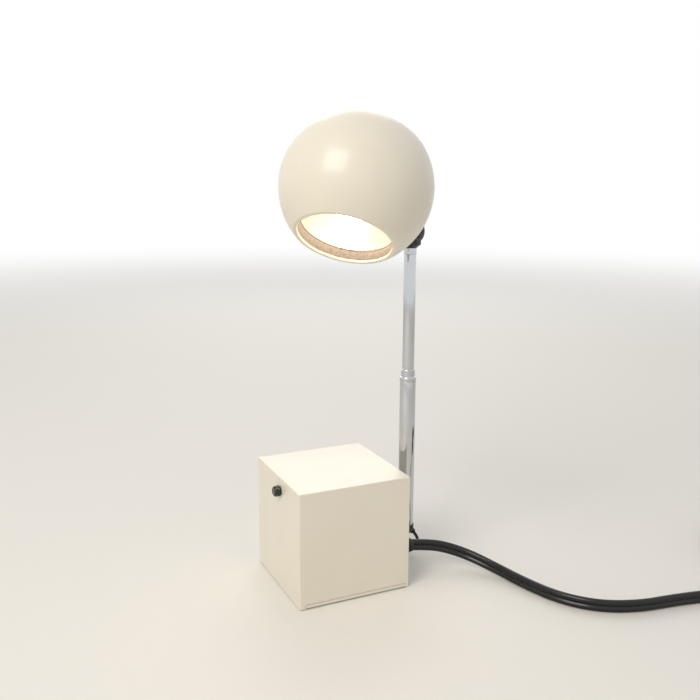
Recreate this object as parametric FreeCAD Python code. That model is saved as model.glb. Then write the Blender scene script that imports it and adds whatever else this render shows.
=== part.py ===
import FreeCAD, Part
import math
import os

# Tabletop searchlight lamp: a cube base that holds the transformer, a telescopic arm
# pivoted on the back of the cube, and a ball shade on a ball-and-knuckle head.
# Millimetres. Origin at the middle of the cube's underside, +Z up, switch face on -Y,
# arm and mains cord on +Y.

V = FreeCAD.Vector
X_AXIS = V(1, 0, 0)
Y_AXIS = V(0, 1, 0)
Z_AXIS = V(0, 0, 1)

# Clearances
RUNNING = 0.05          # radial, between a shaft and its bore
SEAM = 0.3              # around a plate in its recess
BALL_GAP = 0.1          # between the saddle washer and the ball
OVER = 1.0              # how far a cutter stands past what it cuts
WELD = 0.5              # how far the parts of one piece run into each other

# Cube base
CUBE = 76.2
WALL = 1.6
EDGE_R = 0.6
RIM_LIFT = 0.5
FELT_T = 1.0
FELT_INSET = 2.6
PLATE_T = 1.2
PLATE_LIP = 0.8
NOTCH_Y0 = -34.3
NOTCH_Y1 = 35.8
PLATE_GAP = 0.25
POST_R = 3.6
POST_AT = 31.0
BASE_SCREW_R = 1.5
BASE_SCREW_HEAD_R = 2.8
BASE_SCREW_HEAD_H = 1.0
BASE_SCREW_L = 11.0
BASE_SCREW_SLOT = 0.6

# Transformer
STRAP_ROOM = 8.0        # between the core and the side wall, for the strap and its feet
CORE_H = 47.5
CORE_D = 24.0
LEG = 19.0
YOKE = 9.5
BOBBIN_T = 1.0
WINDING_GAP = 1.5       # between the bobbin's cheeks and the core's outer legs
PRIMARY_SHARE = 0.57    # of the wire's room in the window
STRAP_T = 1.0
STRAP_FOOT_GAP = 2.0
STRAP_W = 18.0
STRAP_SCREW_R = 1.5
STRAP_HEAD_R = 2.0
STRAP_HEAD_H = 1.4

# Rotary switch
SWITCH_X = 5.0
SWITCH_Z = 67.5
SWITCH_W = 13.0
SWITCH_H = 12.5
SWITCH_D = 16.0
SWITCH_BUSH_R = 2.8
SWITCH_BUSH_OUT = 0.3
KNOB_R = 3.6
KNOB_L = 4.0
KNOB_EDGE_R = 1.1
KNOB_GAP = 0.4
KNOB_SHAFT_R = 1.4
KNOB_SHAFT_IN = 9.0

# Arm pivot on the back wall
PIVOT_Z = 50.0
ARM_OUT = 17.9          # from the back of the cube to the arm's axis
STUD_R = 4.0
STUD_NUT_L = 4.3
STUD_NUT_R = 7.0
STUD_TAIL = 2.5
PIVOT_WASHER_R = 7.6
PIVOT_WASHER_T = 1.0
SPRING_WASHER_T = 1.2
SPRING_WASHER_IN = 0.6  # how much smaller the spring washer is than the flat one
SADDLE_HALF_W = 6.0
SADDLE_H = 16.0
SADDLE_BOSS_L = 6.9

# Telescopic arm
LOWER_R = 5.35
LOWER_WALL = 0.6
LOWER_Z0 = 25.0
LOWER_Z1 = 128.5
COLLAR_R = 5.5
COLLAR_H = 3.5
COLLAR_EDGE_R = 0.6
COLLAR_STEP_R = 4.65
COLLAR_STEP_H = 4.0
COLLAR_BEAD_R = 4.8
COLLAR_BEAD_H = 1.0
COLLAR_BEAD_EDGE_R = 0.45
COLLAR_SPIGOT_L = 6.5
MIDDLE_R = 4.0
MIDDLE_WALL = 0.5
MIDDLE_Z0 = 116.0
MIDDLE_Z1 = 214.0
BUSH_L = 5.0
INNER_R = 3.0
INNER_WALL = 0.5
INNER_Z0 = 118.0
GLAND_L = 7.5
TUBE_LEAD_R = 0.9
TUBE_LEAD_TOP = 204.0
TUBE_LEAD_IN = 1.0      # how far the lead stands in the boot

# Boot and lead at the foot of the arm
BOOT_R = 5.8
BOOT_FOOT_R = 4.2
BOOT_Z0 = 19.5
BOOT_Z1 = 26.5
BOOT_LIP_Z = 23.6
OUTLET_R = 1.9
OUTLET_OUT = 6.4
OUTLET_DROP = 0.5
OUTLET_L = 5.5
ARM_LEAD_R = 1.1
GROMMET_X = -4.0
GROMMET_Z = 8.0
GROMMET_R = 3.0
GROMMET_LIP_R = 4.2
GROMMET_LIP_T = 1.2
ARM_LEAD_ROUTE = [
    (0.0, 66.0, 14.6),
    (-0.8, 66.7, 9.2),
    (-1.8, 63.6, 4.6),
    (-2.8, 57.0, 2.4),
    (-3.4, 50.0, 3.6),
    (-4.0, 44.4, 8.0),
]

# Knuckle
KNUCKLE_Z = 228.7
HEAD_TURN = 25.5
HEAD_TILT = 26.8
HEAD_SPIN = 10.0
EAR_R = 6.2
EAR_OUT = 6.8
LUG_R = 5.8
LUG_HALF = 2.5
FRICTION_WASHER_T = 0.4
FRICTION_WASHER_R = 5.4
FORK_NECK_R = 4.2
FORK_BASE_R = 6.8
FORK_BASE_H = 4.6
FORK_RELIEF = 0.4
FORK_WEB_BACK = 1.5     # how far back the widest part of the fork's web lies
SPIGOT_L = 12.0
SPIGOT_BORE_R = 1.4
HINGE_SCREW_R = 2.0
HINGE_HEAD_R = 4.0
HINGE_HEAD_H = 1.6
HINGE_SLOT = 0.8

# Ball shade
BALL_R = 46.1
BALL_WALL = 1.0
OPENING_R = 30.24       # outer edge of the opening
OPENING_LEAN = 5.2      # the opening's axis leans this far from square to the stub
STUB_R = 3.0
STUB_BORE_R = 1.5
STUB_IN = 10.5          # how far the stub stands in past the ball's outside
STUB_COLLAR_R = 4.4
STUB_COLLAR_L = 2.4
STUB_NECK_L = 5.04      # from the collar to the lug
STUB_ROOT_SHARE = 0.36  # the tapered part of that neck
STUB_LUG_IN = 0.8       # how far the neck runs into the lug
SADDLE_WASHER_R = 7.2
SADDLE_WASHER_T = 3.4
CUP_R = 7.0
CUP_T = 2.9
BRACKET_T = 1.2
BRACKET_HALF_W = 7.0
BRACKET_TOP_IN = 2.0    # how far below the strip the foot ends
CLIP_WALL = 2.2
CLIP_LIP = 0.6
STRIP_HALF_W = 5.0
BRACKET_Z = 13.0
STUB_NUT_R = 5.2
STUB_NUT_L = 2.6
STUB_WASHER_R = 5.6
STUB_WASHER_T = 0.8

# Light fittings, along the opening's axis from the ball's centre
BAFFLE_FIT = 0.18
BAFFLE_WALL = 0.6
BAFFLE_L = 8.0
BAFFLE_INSET = 0.15
REFLECTOR_WALL = 0.6
REFLECTOR_NECK_Z = -2.0
REFLECTOR_MID_IN = 7.0  # how far the bowl has drawn in at its middle height
REFLECTOR_MID_Z = -11.0
SOCKET_R = 8.6
SOCKET_WALL = 0.8
SOCKET_Z0 = -3.5
SOCKET_Z1 = 18.0
SOCKET_FLANGE_T = 0.8
SOCKET_FLANGE_OUT = 1.6
INSULATOR_T = 2.5
CONTACT_R = 1.3
CONTACT_APART = 7.0
CAP_R = 7.6
CAP_Z0 = -5.0
CAP_L = 17.5
CAP_EDGE_R = 0.8
CAP_PIN_R = 0.9
CAP_PIN_OUT = 0.9
CAP_PIN_Z = 4.0
BULB_R = 9.4
BULB_Z = -15.0
BULB_NECK_R = 5.6
HEAD_LEAD_R = 0.8
HEAD_LEAD_RISE = 8.5
HEAD_LEAD_HOLE = 0.6
HEAD_LEAD_IN = 3.0

# Mains cord and plug: the route is chosen by hand
CORD_R = 4.0
CORD_X = 13.0
CORD_Z = 16.2
RELIEF_IN = 8.0
RELIEF_OUT = 15.0
RELIEF_R0 = 5.4
RELIEF_R1 = 4.5
RELIEF_FLANGE_R = 7.0
RELIEF_FLANGE_T = 1.4
CORD_ROUTE = [
    (16.2, 66.6, 15.4),
    (22.6, 79.3, 12.6),
    (32.6, 90.6, 8.8),
    (48.0, 99.3, 5.4),
    (72.0, 106.0, 4.0),
    (97.0, 114.0, 4.0),
    (116.0, 130.0, 4.0),
    (126.0, 153.0, 4.0),
    (129.0, 177.0, 4.0),
    (134.0, 202.0, 4.0),
    (141.5, 226.0, 4.0),
    (149.5, 250.0, 4.0),
    (156.9, 274.6, 4.0),
]
COIL_CENTRE = (110.0, 312.0)
COIL_R = 55.0
COIL_PITCH = 8.6
COIL_ROUNDS = 5
COIL_START = -15.0
COIL_EXIT = 90.0
COIL_LAYER = 8.6
TAIL_ROUTE = [
    (96.0, 367.0, 12.3),
    (78.0, 367.3, 7.5),
]
PLUG_AT = (63.0, 367.5, 7.5)
PLUG_L = 34.0
PLUG_W = 25.0
PLUG_T = 15.0
PLUG_BOOT_L = 18.0
PLUG_BOOT_R0 = 4.8
PLUG_BOOT_R1 = 6.6
PLUG_SIDE_R = 3.5
PLUG_BACK_R = 2.0
BLADE_L = 17.0
BLADE_W = 6.3
BLADE_T = 1.5
BLADE_APART = 12.7

# Worked-out sizes
HALF = CUBE / 2.0
IN_WALL = HALF - WALL
ARM_Y = HALF + ARM_OUT
PLATE_Z0 = FELT_T
PLATE_Z1 = PLATE_Z0 + PLATE_T
NOTCH_TOP = PLATE_Z1 + PLATE_LIP + SEAM
MIDDLE_IN = MIDDLE_R - MIDDLE_WALL
INNER_IN = INNER_R - INNER_WALL
LOWER_IN = LOWER_R - LOWER_WALL
BALL_IN = BALL_R - BALL_WALL
CORE_W = 2.0 * (IN_WALL - STRAP_ROOM)
WIRE_ROOM = CORE_W / 2.0 - YOKE - LEG / 2.0 - BOBBIN_T - WINDING_GAP
PRIMARY_T = PRIMARY_SHARE * WIRE_ROOM
SECONDARY_T = WIRE_ROOM - PRIMARY_T
BALL_ARM = BALL_R + SADDLE_WASHER_T + STUB_COLLAR_L + STUB_NECK_L + LUG_R
OPENING_DEPTH = math.sqrt(BALL_R ** 2 - OPENING_R ** 2)
BAFFLE_R = math.sqrt(BALL_IN ** 2 - OPENING_DEPTH ** 2) - BAFFLE_FIT
REFLECTOR_MID_R = BAFFLE_R - REFLECTOR_MID_IN
STUB_END = BALL_R - STUB_IN
COIL_TURNS = COIL_ROUNDS + (COIL_EXIT - COIL_START) / 360.0


def cyl(radius, start, end):
    """A round bar between two points."""
    a = V(*start)
    b = V(*end)
    run = b - a
    return Part.makeCylinder(radius, run.Length, a, run)


def ring(outer, inner, start, end):
    """A round tube between two points."""
    return cyl(outer, start, end).cut(cyl(inner, start, end))


def cone(radius0, radius1, start, end):
    """A tapered bar between two points."""
    a = V(*start)
    run = V(*end) - a
    return Part.makeCone(radius0, radius1, run.Length, a, run)


def block(x0, x1, y0, y1, z0, z1):
    """A box between its low and high corners."""
    return Part.makeBox(x1 - x0, y1 - y0, z1 - z0, V(x0, y0, z0))


def hexagon(radius, start, end, bore):
    """A six-sided nut between two points, with a round bore."""
    a = V(*start)
    run = V(*end) - a
    points = [V(radius * math.cos(math.radians(60 * k)), radius * math.sin(math.radians(60 * k)), 0)
              for k in range(7)]
    nut = Part.Face(Part.makePolygon(points)).extrude(V(0, 0, run.Length))
    nut.Placement = FreeCAD.Placement(a, FreeCAD.Rotation(Z_AXIS, run))
    return nut.cut(cyl(bore, start, end))


def spun(profile):
    """A solid turned about Z from a closed profile of (radius, z) points or edges."""
    return Part.Face(profile).revolve(V(0, 0, 0), Z_AXIS, 360)


def edges_at(shape, test):
    """The edges whose middle passes the test."""
    return [e for e in shape.Edges if test(e.CenterOfMass)]


def group(*solids):
    """Separate solids that share one node."""
    return Part.makeCompound(list(solids))


def solid_of(shape):
    """The one solid of a shape."""
    merged = shape.removeSplitter()
    return merged.Solids[0] if len(merged.Solids) == 1 else merged


NODES = {}


def add(name, shape):
    """Keeps a node for export, as a solid or a group of solids."""
    NODES[name] = shape


def base():
    """The cube shell, its plate, felt and screws."""
    outer = block(-HALF, HALF, -HALF, HALF, RIM_LIFT, CUBE)
    sharp = edges_at(outer, lambda c: c.z > RIM_LIFT + RUNNING)
    outer = outer.makeFillet(EDGE_R, sharp)
    shell = outer.cut(block(-IN_WALL, IN_WALL, -IN_WALL, IN_WALL, 0, CUBE - WALL))
    for side in (-1, 1):
        post = cyl(POST_R, (side * POST_AT, -side * POST_AT, PLATE_Z1),
                   (side * POST_AT, -side * POST_AT, CUBE - WALL / 2))
        web_x = sorted((side * POST_AT, side * (HALF - WALL / 2)))
        web_y = sorted((-side * POST_AT, -side * (HALF - WALL / 2)))
        web = block(web_x[0], web_x[1], web_y[0], web_y[1], PLATE_Z1, CUBE - WALL / 2)
        shell = shell.fuse([post, web])
    for side in (-1, 1):
        hole_x = side * POST_AT
        shell = shell.cut(cyl(BASE_SCREW_R, (hole_x, -hole_x, 0),
                              (hole_x, -hole_x, PLATE_Z0 + BASE_SCREW_L + OVER)))
        x0, x1 = sorted((side * (IN_WALL - OVER), side * (HALF + OVER)))
        shell = shell.cut(block(x0, x1, NOTCH_Y0, NOTCH_Y1, 0, NOTCH_TOP))
    y0 = IN_WALL - OVER
    y1 = HALF + OVER
    holes = [
        cyl(SWITCH_BUSH_R + RUNNING, (SWITCH_X, -y1, SWITCH_Z), (SWITCH_X, -y0, SWITCH_Z)),
        cyl(STUD_R + RUNNING, (0, y0, PIVOT_Z), (0, y1, PIVOT_Z)),
        cyl(GROMMET_R, (GROMMET_X, y0, GROMMET_Z), (GROMMET_X, y1, GROMMET_Z)),
        cyl(RELIEF_R0, (CORD_X, y0, CORD_Z), (CORD_X, y1, CORD_Z)),
    ]
    for hole in holes:
        shell = shell.cut(hole)
    add("base_shell", solid_of(shell))

    inner = IN_WALL - PLATE_GAP
    plate = block(-inner, inner, -inner, inner, PLATE_Z0, PLATE_Z1)
    tab_y0 = NOTCH_Y0 + SEAM
    tab_y1 = NOTCH_Y1 - SEAM
    for side in (-1, 1):
        x0, x1 = sorted((side * (inner - OVER), side * HALF))
        lip0, lip1 = sorted((side * (HALF - PLATE_T), side * HALF))
        plate = plate.fuse([block(x0, x1, tab_y0, tab_y1, PLATE_Z0, PLATE_Z1),
                            block(lip0, lip1, tab_y0, tab_y1, PLATE_Z0, PLATE_Z1 + PLATE_LIP)])
    screws = []
    felt_half = HALF - FELT_INSET
    felt = block(-felt_half, felt_half, -felt_half, felt_half, 0, FELT_T)
    for side in (-1, 1):
        x = side * POST_AT
        y = -side * POST_AT
        neck_z = PLATE_Z0 + BASE_SCREW_HEAD_H
        head = cone(BASE_SCREW_HEAD_R, BASE_SCREW_R, (x, y, PLATE_Z0), (x, y, neck_z))
        shank = cyl(BASE_SCREW_R, (x, y, neck_z), (x, y, PLATE_Z0 + BASE_SCREW_L))
        slot = block(x - BASE_SCREW_HEAD_R, x + BASE_SCREW_HEAD_R, y - BASE_SCREW_SLOT / 2,
                     y + BASE_SCREW_SLOT / 2, PLATE_Z0, PLATE_Z0 + BASE_SCREW_HEAD_H / 2)
        plate = plate.cut(head).cut(cyl(BASE_SCREW_R, (x, y, PLATE_Z0), (x, y, PLATE_Z1)))
        felt = felt.cut(cyl(BASE_SCREW_HEAD_R + SEAM, (x, y, 0), (x, y, FELT_T)))
        screws.append(head.fuse(shank).cut(slot))
    add("base_plate", solid_of(plate))
    add("felt_pad", solid_of(felt))
    add("base_screws", group(*screws))


def transformer():
    """Laminated core, bobbin, two windings and the strap that holds them to the plate."""
    z0 = PLATE_Z1
    z1 = z0 + CORE_H
    half_w = CORE_W / 2
    half_d = CORE_D / 2
    leg = LEG / 2
    window = half_w - YOKE
    core = block(-half_w, half_w, -half_d, half_d, z0, z1)
    for side in (-1, 1):
        x0, x1 = sorted((side * leg, side * window))
        core = core.cut(block(x0, x1, -half_d, half_d, z0 + YOKE, z1 - YOKE))
    add("transformer_core", core)

    low = z0 + YOKE
    high = z1 - YOKE
    sleeve = block(-leg - BOBBIN_T, leg + BOBBIN_T, -half_d - BOBBIN_T, half_d + BOBBIN_T, low, high)
    wound = BOBBIN_T + PRIMARY_T + SECONDARY_T
    cheek_x = leg + wound
    cheek_y = half_d + wound
    cheeks = [block(-cheek_x, cheek_x, -cheek_y, cheek_y, z, z + BOBBIN_T) for z in (low, high - BOBBIN_T)]
    core_hole = block(-leg, leg, -half_d, half_d, low, high)
    add("transformer_bobbin", solid_of(sleeve.fuse(cheeks).cut(core_hole)))

    def winding(inside, thick):
        """One winding as a closed band round the bobbin."""
        out_x = leg + inside + thick
        out_y = half_d + inside + thick
        band = block(-out_x, out_x, -out_y, out_y, low + BOBBIN_T, high - BOBBIN_T)
        upright = edges_at(band, lambda c: abs(c.x) > out_x - RUNNING and abs(c.y) > out_y - RUNNING)
        band = band.makeFillet(thick, upright)
        return band.cut(block(-leg - inside, leg + inside, -half_d - inside, half_d + inside, low, high))

    primary = winding(BOBBIN_T, PRIMARY_T)
    secondary = winding(BOBBIN_T + PRIMARY_T, SECONDARY_T)
    add("primary_winding", primary.cut(secondary))
    add("secondary_winding", secondary.cut(primary))

    outside = half_w + STRAP_T
    foot = IN_WALL - STRAP_FOOT_GAP
    half_s = STRAP_W / 2
    strap = block(-outside, outside, -half_s, half_s, z0, z1 + STRAP_T)
    strap = strap.cut(block(-half_w, half_w, -half_s, half_s, z0, z1))
    screws = []
    for side in (-1, 1):
        x0, x1 = sorted((side * half_w, side * foot))
        strap = strap.fuse(block(x0, x1, -half_s, half_s, z0, z0 + STRAP_T))
    for side in (-1, 1):
        x = side * (foot + outside) / 2
        strap = strap.cut(cyl(STRAP_SCREW_R, (x, 0, z0), (x, 0, z0 + STRAP_T)))
        top = z0 + STRAP_T
        screws.append(cyl(STRAP_SCREW_R, (x, 0, PLATE_Z1), (x, 0, top)).fuse(
            cyl(STRAP_HEAD_R, (x, 0, top), (x, 0, top + STRAP_HEAD_H))))
    add("transformer_strap", solid_of(strap))
    add("strap_screws", group(*screws))


def switch():
    """The rotary switch in the front wall and its knob."""
    y_in = -IN_WALL
    half_w = SWITCH_W / 2
    half_h = SWITCH_H / 2
    body = block(SWITCH_X - half_w, SWITCH_X + half_w, y_in, y_in + SWITCH_D,
                 SWITCH_Z - half_h, SWITCH_Z + half_h)
    face_y = -HALF - SWITCH_BUSH_OUT
    body = body.fuse(cyl(SWITCH_BUSH_R, (SWITCH_X, face_y, SWITCH_Z), (SWITCH_X, y_in + WELD, SWITCH_Z)))
    knob_y1 = face_y - KNOB_GAP
    knob_y0 = knob_y1 - KNOB_L
    shaft_end = knob_y1 + KNOB_SHAFT_IN
    body = body.cut(cyl(KNOB_SHAFT_R + RUNNING, (SWITCH_X, face_y - OVER, SWITCH_Z),
                        (SWITCH_X, shaft_end + SEAM, SWITCH_Z)))
    add("switch_body", solid_of(body))
    knob = cyl(KNOB_R, (SWITCH_X, knob_y1, SWITCH_Z), (SWITCH_X, knob_y0, SWITCH_Z))
    knob = knob.makeFillet(KNOB_EDGE_R, edges_at(knob, lambda c: c.y < knob_y0 + RUNNING))
    shaft_y = knob_y0 + KNOB_L / 2
    shaft = cyl(KNOB_SHAFT_R, (SWITCH_X, shaft_y, SWITCH_Z), (SWITCH_X, shaft_end, SWITCH_Z))
    add("switch_knob", solid_of(knob.fuse(shaft)))


def pivot():
    """The stud, washers and nut that clamp the arm's saddle to the back wall."""
    boss_y0 = HALF + PIVOT_WASHER_T
    nut_y1 = IN_WALL - PIVOT_WASHER_T - SPRING_WASHER_T
    nut_y0 = nut_y1 - STUD_NUT_L
    washers = [
        ring(PIVOT_WASHER_R, STUD_R, (0, HALF, PIVOT_Z), (0, boss_y0, PIVOT_Z)),
        ring(PIVOT_WASHER_R, STUD_R, (0, IN_WALL - PIVOT_WASHER_T, PIVOT_Z), (0, IN_WALL, PIVOT_Z)),
    ]
    add("pivot_washers", group(*washers))
    spring = ring(PIVOT_WASHER_R - SPRING_WASHER_IN, STUD_R, (0, nut_y1, PIVOT_Z),
                  (0, nut_y1 + SPRING_WASHER_T, PIVOT_Z))
    add("pivot_spring_washer", spring)
    add("pivot_nut", hexagon(STUD_NUT_R, (0, nut_y0, PIVOT_Z), (0, nut_y1, PIVOT_Z), STUD_R))
    boss_y1 = boss_y0 + SADDLE_BOSS_L
    add("pivot_stud", cyl(STUD_R, (0, nut_y0 - STUD_TAIL, PIVOT_Z), (0, boss_y1, PIVOT_Z)))
    saddle = block(-SADDLE_HALF_W, SADDLE_HALF_W, boss_y1, ARM_Y,
                   PIVOT_Z - SADDLE_H / 2, PIVOT_Z + SADDLE_H / 2)
    saddle = saddle.fuse(ring(SADDLE_HALF_W, STUD_R, (0, boss_y0, PIVOT_Z), (0, boss_y1, PIVOT_Z)))
    saddle = saddle.cut(cyl(LOWER_R, (0, ARM_Y, 0), (0, ARM_Y, CUBE)))
    add("arm_saddle", solid_of(saddle))


def on_arm(radius, z0, z1):
    """A bar on the arm's axis."""
    return cyl(radius, (0, ARM_Y, z0), (0, ARM_Y, z1))


def arm():
    """The three tubes, their bushes and collars, and the boot and leads."""
    add("lower_tube", on_arm(LOWER_R, LOWER_Z0, LOWER_Z1).cut(on_arm(LOWER_IN, LOWER_Z0, LOWER_Z1)))
    z = LOWER_Z1
    step_z = z + COLLAR_H
    bead_z = step_z + COLLAR_STEP_H
    top_z = bead_z + COLLAR_BEAD_H
    collar = on_arm(LOWER_IN, z - COLLAR_SPIGOT_L, z + WELD)
    ring_part = on_arm(COLLAR_R, z, step_z)
    ring_part = ring_part.makeFillet(COLLAR_EDGE_R, edges_at(ring_part, lambda c: c.z > step_z - RUNNING))
    bead = on_arm(COLLAR_BEAD_R, bead_z, top_z)
    bead = bead.makeFillet(COLLAR_BEAD_EDGE_R, [e for e in bead.Edges if e.Closed])
    collar = collar.fuse([ring_part, on_arm(COLLAR_STEP_R, step_z - WELD, bead_z + COLLAR_BEAD_H / 2), bead])
    collar = collar.cut(on_arm(MIDDLE_R + RUNNING, 0, top_z + OVER))
    add("lower_collar", solid_of(collar))

    middle_top = MIDDLE_Z1 - RUNNING
    add("middle_tube", on_arm(MIDDLE_R, MIDDLE_Z0, middle_top).cut(on_arm(MIDDLE_IN, MIDDLE_Z0, middle_top)))
    add("middle_bush", on_arm(LOWER_IN - RUNNING, MIDDLE_Z0, MIDDLE_Z0 + BUSH_L).cut(
        on_arm(MIDDLE_R, MIDDLE_Z0, MIDDLE_Z0 + BUSH_L)))
    add("middle_gland", on_arm(MIDDLE_IN, middle_top - GLAND_L, middle_top).cut(
        on_arm(INNER_R + RUNNING, middle_top - GLAND_L, middle_top)))
    add("inner_tube", on_arm(INNER_R, INNER_Z0, MIDDLE_Z1).cut(on_arm(INNER_IN, INNER_Z0, MIDDLE_Z1)))
    add("inner_bush", on_arm(MIDDLE_IN - RUNNING, INNER_Z0, INNER_Z0 + BUSH_L).cut(
        on_arm(INNER_R, INNER_Z0, INNER_Z0 + BUSH_L)))

    boot = on_arm(BOOT_R, BOOT_LIP_Z, BOOT_Z1).fuse(
        cone(BOOT_FOOT_R, BOOT_R, (0, ARM_Y, BOOT_Z0), (0, ARM_Y, BOOT_LIP_Z)))
    outlet1 = outlet_end()
    heading = (V(*ARM_LEAD_ROUTE[0]) - outlet1).normalize()
    boot = boot.fuse(Part.makeCylinder(OUTLET_R, OUTLET_L, outlet1 - heading * OUTLET_L, heading))
    boot = boot.cut(on_arm(LOWER_R, LOWER_Z0, BOOT_Z1 + OVER))
    boot = boot.cut(on_arm(TUBE_LEAD_R, LOWER_Z0 - TUBE_LEAD_IN, LOWER_Z0))
    add("foot_boot", solid_of(boot))
    add("tube_lead", on_arm(TUBE_LEAD_R, LOWER_Z0 - TUBE_LEAD_IN, TUBE_LEAD_TOP))

    grommet = ring(GROMMET_R, ARM_LEAD_R, (GROMMET_X, IN_WALL, GROMMET_Z), (GROMMET_X, HALF, GROMMET_Z))
    lip = ring(GROMMET_LIP_R, ARM_LEAD_R, (GROMMET_X, HALF, GROMMET_Z),
               (GROMMET_X, HALF + GROMMET_LIP_T, GROMMET_Z))
    back = ring(GROMMET_LIP_R, ARM_LEAD_R, (GROMMET_X, IN_WALL - GROMMET_LIP_T, GROMMET_Z),
                (GROMMET_X, IN_WALL, GROMMET_Z))
    add("lead_grommet", solid_of(grommet.fuse([lip, back])))


def outlet_end():
    """Where the lead leaves the boot."""
    return V(0, ARM_Y + OUTLET_OUT, BOOT_Z0 - OUTLET_DROP)


def turned(lean=0.0, tilt=0.0, spin=0.0, out=0.0):
    """The placement of a piece of the head: opening lean, then spin, reach, tilt and turn."""
    leaned = FreeCAD.Placement(V(0, 0, 0), FreeCAD.Rotation(X_AXIS, -lean))
    spun_to = FreeCAD.Placement(V(0, 0, 0), FreeCAD.Rotation(Y_AXIS, -spin))
    reach = FreeCAD.Placement(V(0, -out, 0), FreeCAD.Rotation())
    tilted = FreeCAD.Placement(V(0, 0, 0), FreeCAD.Rotation(X_AXIS, -tilt))
    at_knuckle = FreeCAD.Placement(V(0, ARM_Y, KNUCKLE_Z), FreeCAD.Rotation(Z_AXIS, HEAD_TURN))
    return at_knuckle.multiply(tilted).multiply(reach).multiply(spun_to).multiply(leaned)


def placed(shape, where):
    """A copy of the shape at a placement."""
    moved = shape.copy()
    moved.Placement = where.multiply(moved.Placement)
    return moved


def add_fork(name, shape):
    """Adds a piece drawn about the knuckle that turns with the fork."""
    add(name, placed(shape, turned()))


def add_stub(name, shape):
    """Adds a piece drawn about the ball's centre that tilts with the stub."""
    add(name, placed(shape, turned(tilt=HEAD_TILT, out=BALL_ARM)))


def add_shade(name, shape):
    """Adds a piece drawn about the ball's centre that spins with the shade."""
    add(name, placed(shape, turned(tilt=HEAD_TILT, spin=HEAD_SPIN, out=BALL_ARM)))


def add_optic(name, shape):
    """Adds a piece drawn along the opening's axis, which points down -Z."""
    where = turned(lean=OPENING_LEAN, tilt=HEAD_TILT, spin=HEAD_SPIN, out=BALL_ARM)
    add(name, placed(shape, where))


def knuckle():
    """The fork on the inner tube, drawn about the hinge's axis along X."""
    base_z = MIDDLE_Z1 - KNUCKLE_Z
    shoulder = -LUG_R - FORK_RELIEF
    ear_in = LUG_HALF + FRICTION_WASHER_T
    neck_top = shoulder - FORK_BASE_H
    fork = cyl(FORK_NECK_R, (0, 0, base_z), (0, 0, neck_top + WELD))
    fork = fork.fuse(cone(FORK_NECK_R, FORK_BASE_R, (0, 0, neck_top), (0, 0, neck_top + FORK_BASE_H / 2)))
    fork = fork.fuse(cyl(FORK_BASE_R, (0, 0, neck_top + FORK_BASE_H / 2), (0, 0, shoulder)))
    for side in (-1, 1):
        ear = cyl(EAR_R, (side * ear_in, 0, 0), (side * EAR_OUT, 0, 0))
        x0, x1 = sorted((side * ear_in, side * EAR_OUT))
        web = block(x0, x1, -EAR_R, EAR_R, shoulder - FORK_BASE_H / 2, 0)
        widest = math.hypot(EAR_OUT, FORK_WEB_BACK)
        web = web.common(cyl(widest, (0, 0, shoulder - FORK_BASE_H), (0, 0, OVER)))
        fork = fork.fuse([ear, web])
    fork = fork.fuse(cyl(INNER_IN - RUNNING, (0, 0, base_z - SPIGOT_L), (0, 0, base_z + WELD)))
    fork = fork.cut(cyl(SPIGOT_BORE_R, (0, 0, base_z - SPIGOT_L - OVER), (0, 0, 0)))
    fork = fork.cut(cyl(HINGE_SCREW_R, (-EAR_OUT, 0, 0), (EAR_OUT, 0, 0)))
    add_fork("knuckle_fork", solid_of(fork))
    washers = [ring(FRICTION_WASHER_R, HINGE_SCREW_R, (side * LUG_HALF, 0, 0), (side * ear_in, 0, 0))
               for side in (-1, 1)]
    add_fork("friction_washers", group(*washers))

    def domed(x0, x1):
        """A round head with a soft outer edge."""
        head = cyl(HINGE_HEAD_R, (x0, 0, 0), (x1, 0, 0))
        return head.makeFillet(HINGE_HEAD_H * 0.6, edges_at(head, lambda c: abs(c.x - x1) < RUNNING))

    tip = EAR_OUT + HINGE_HEAD_H
    slot_x = EAR_OUT + HINGE_HEAD_H / 2
    slot = block(slot_x, tip + OVER, -HINGE_HEAD_R, HINGE_HEAD_R, -HINGE_SLOT / 2, HINGE_SLOT / 2)
    shank = cyl(HINGE_SCREW_R, (-EAR_OUT, 0, 0), (EAR_OUT + RUNNING, 0, 0))
    screw = domed(EAR_OUT, tip).cut(slot).fuse(shank)
    add_fork("hinge_screw", solid_of(screw))
    add_fork("hinge_nut", domed(-EAR_OUT, -tip))


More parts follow.
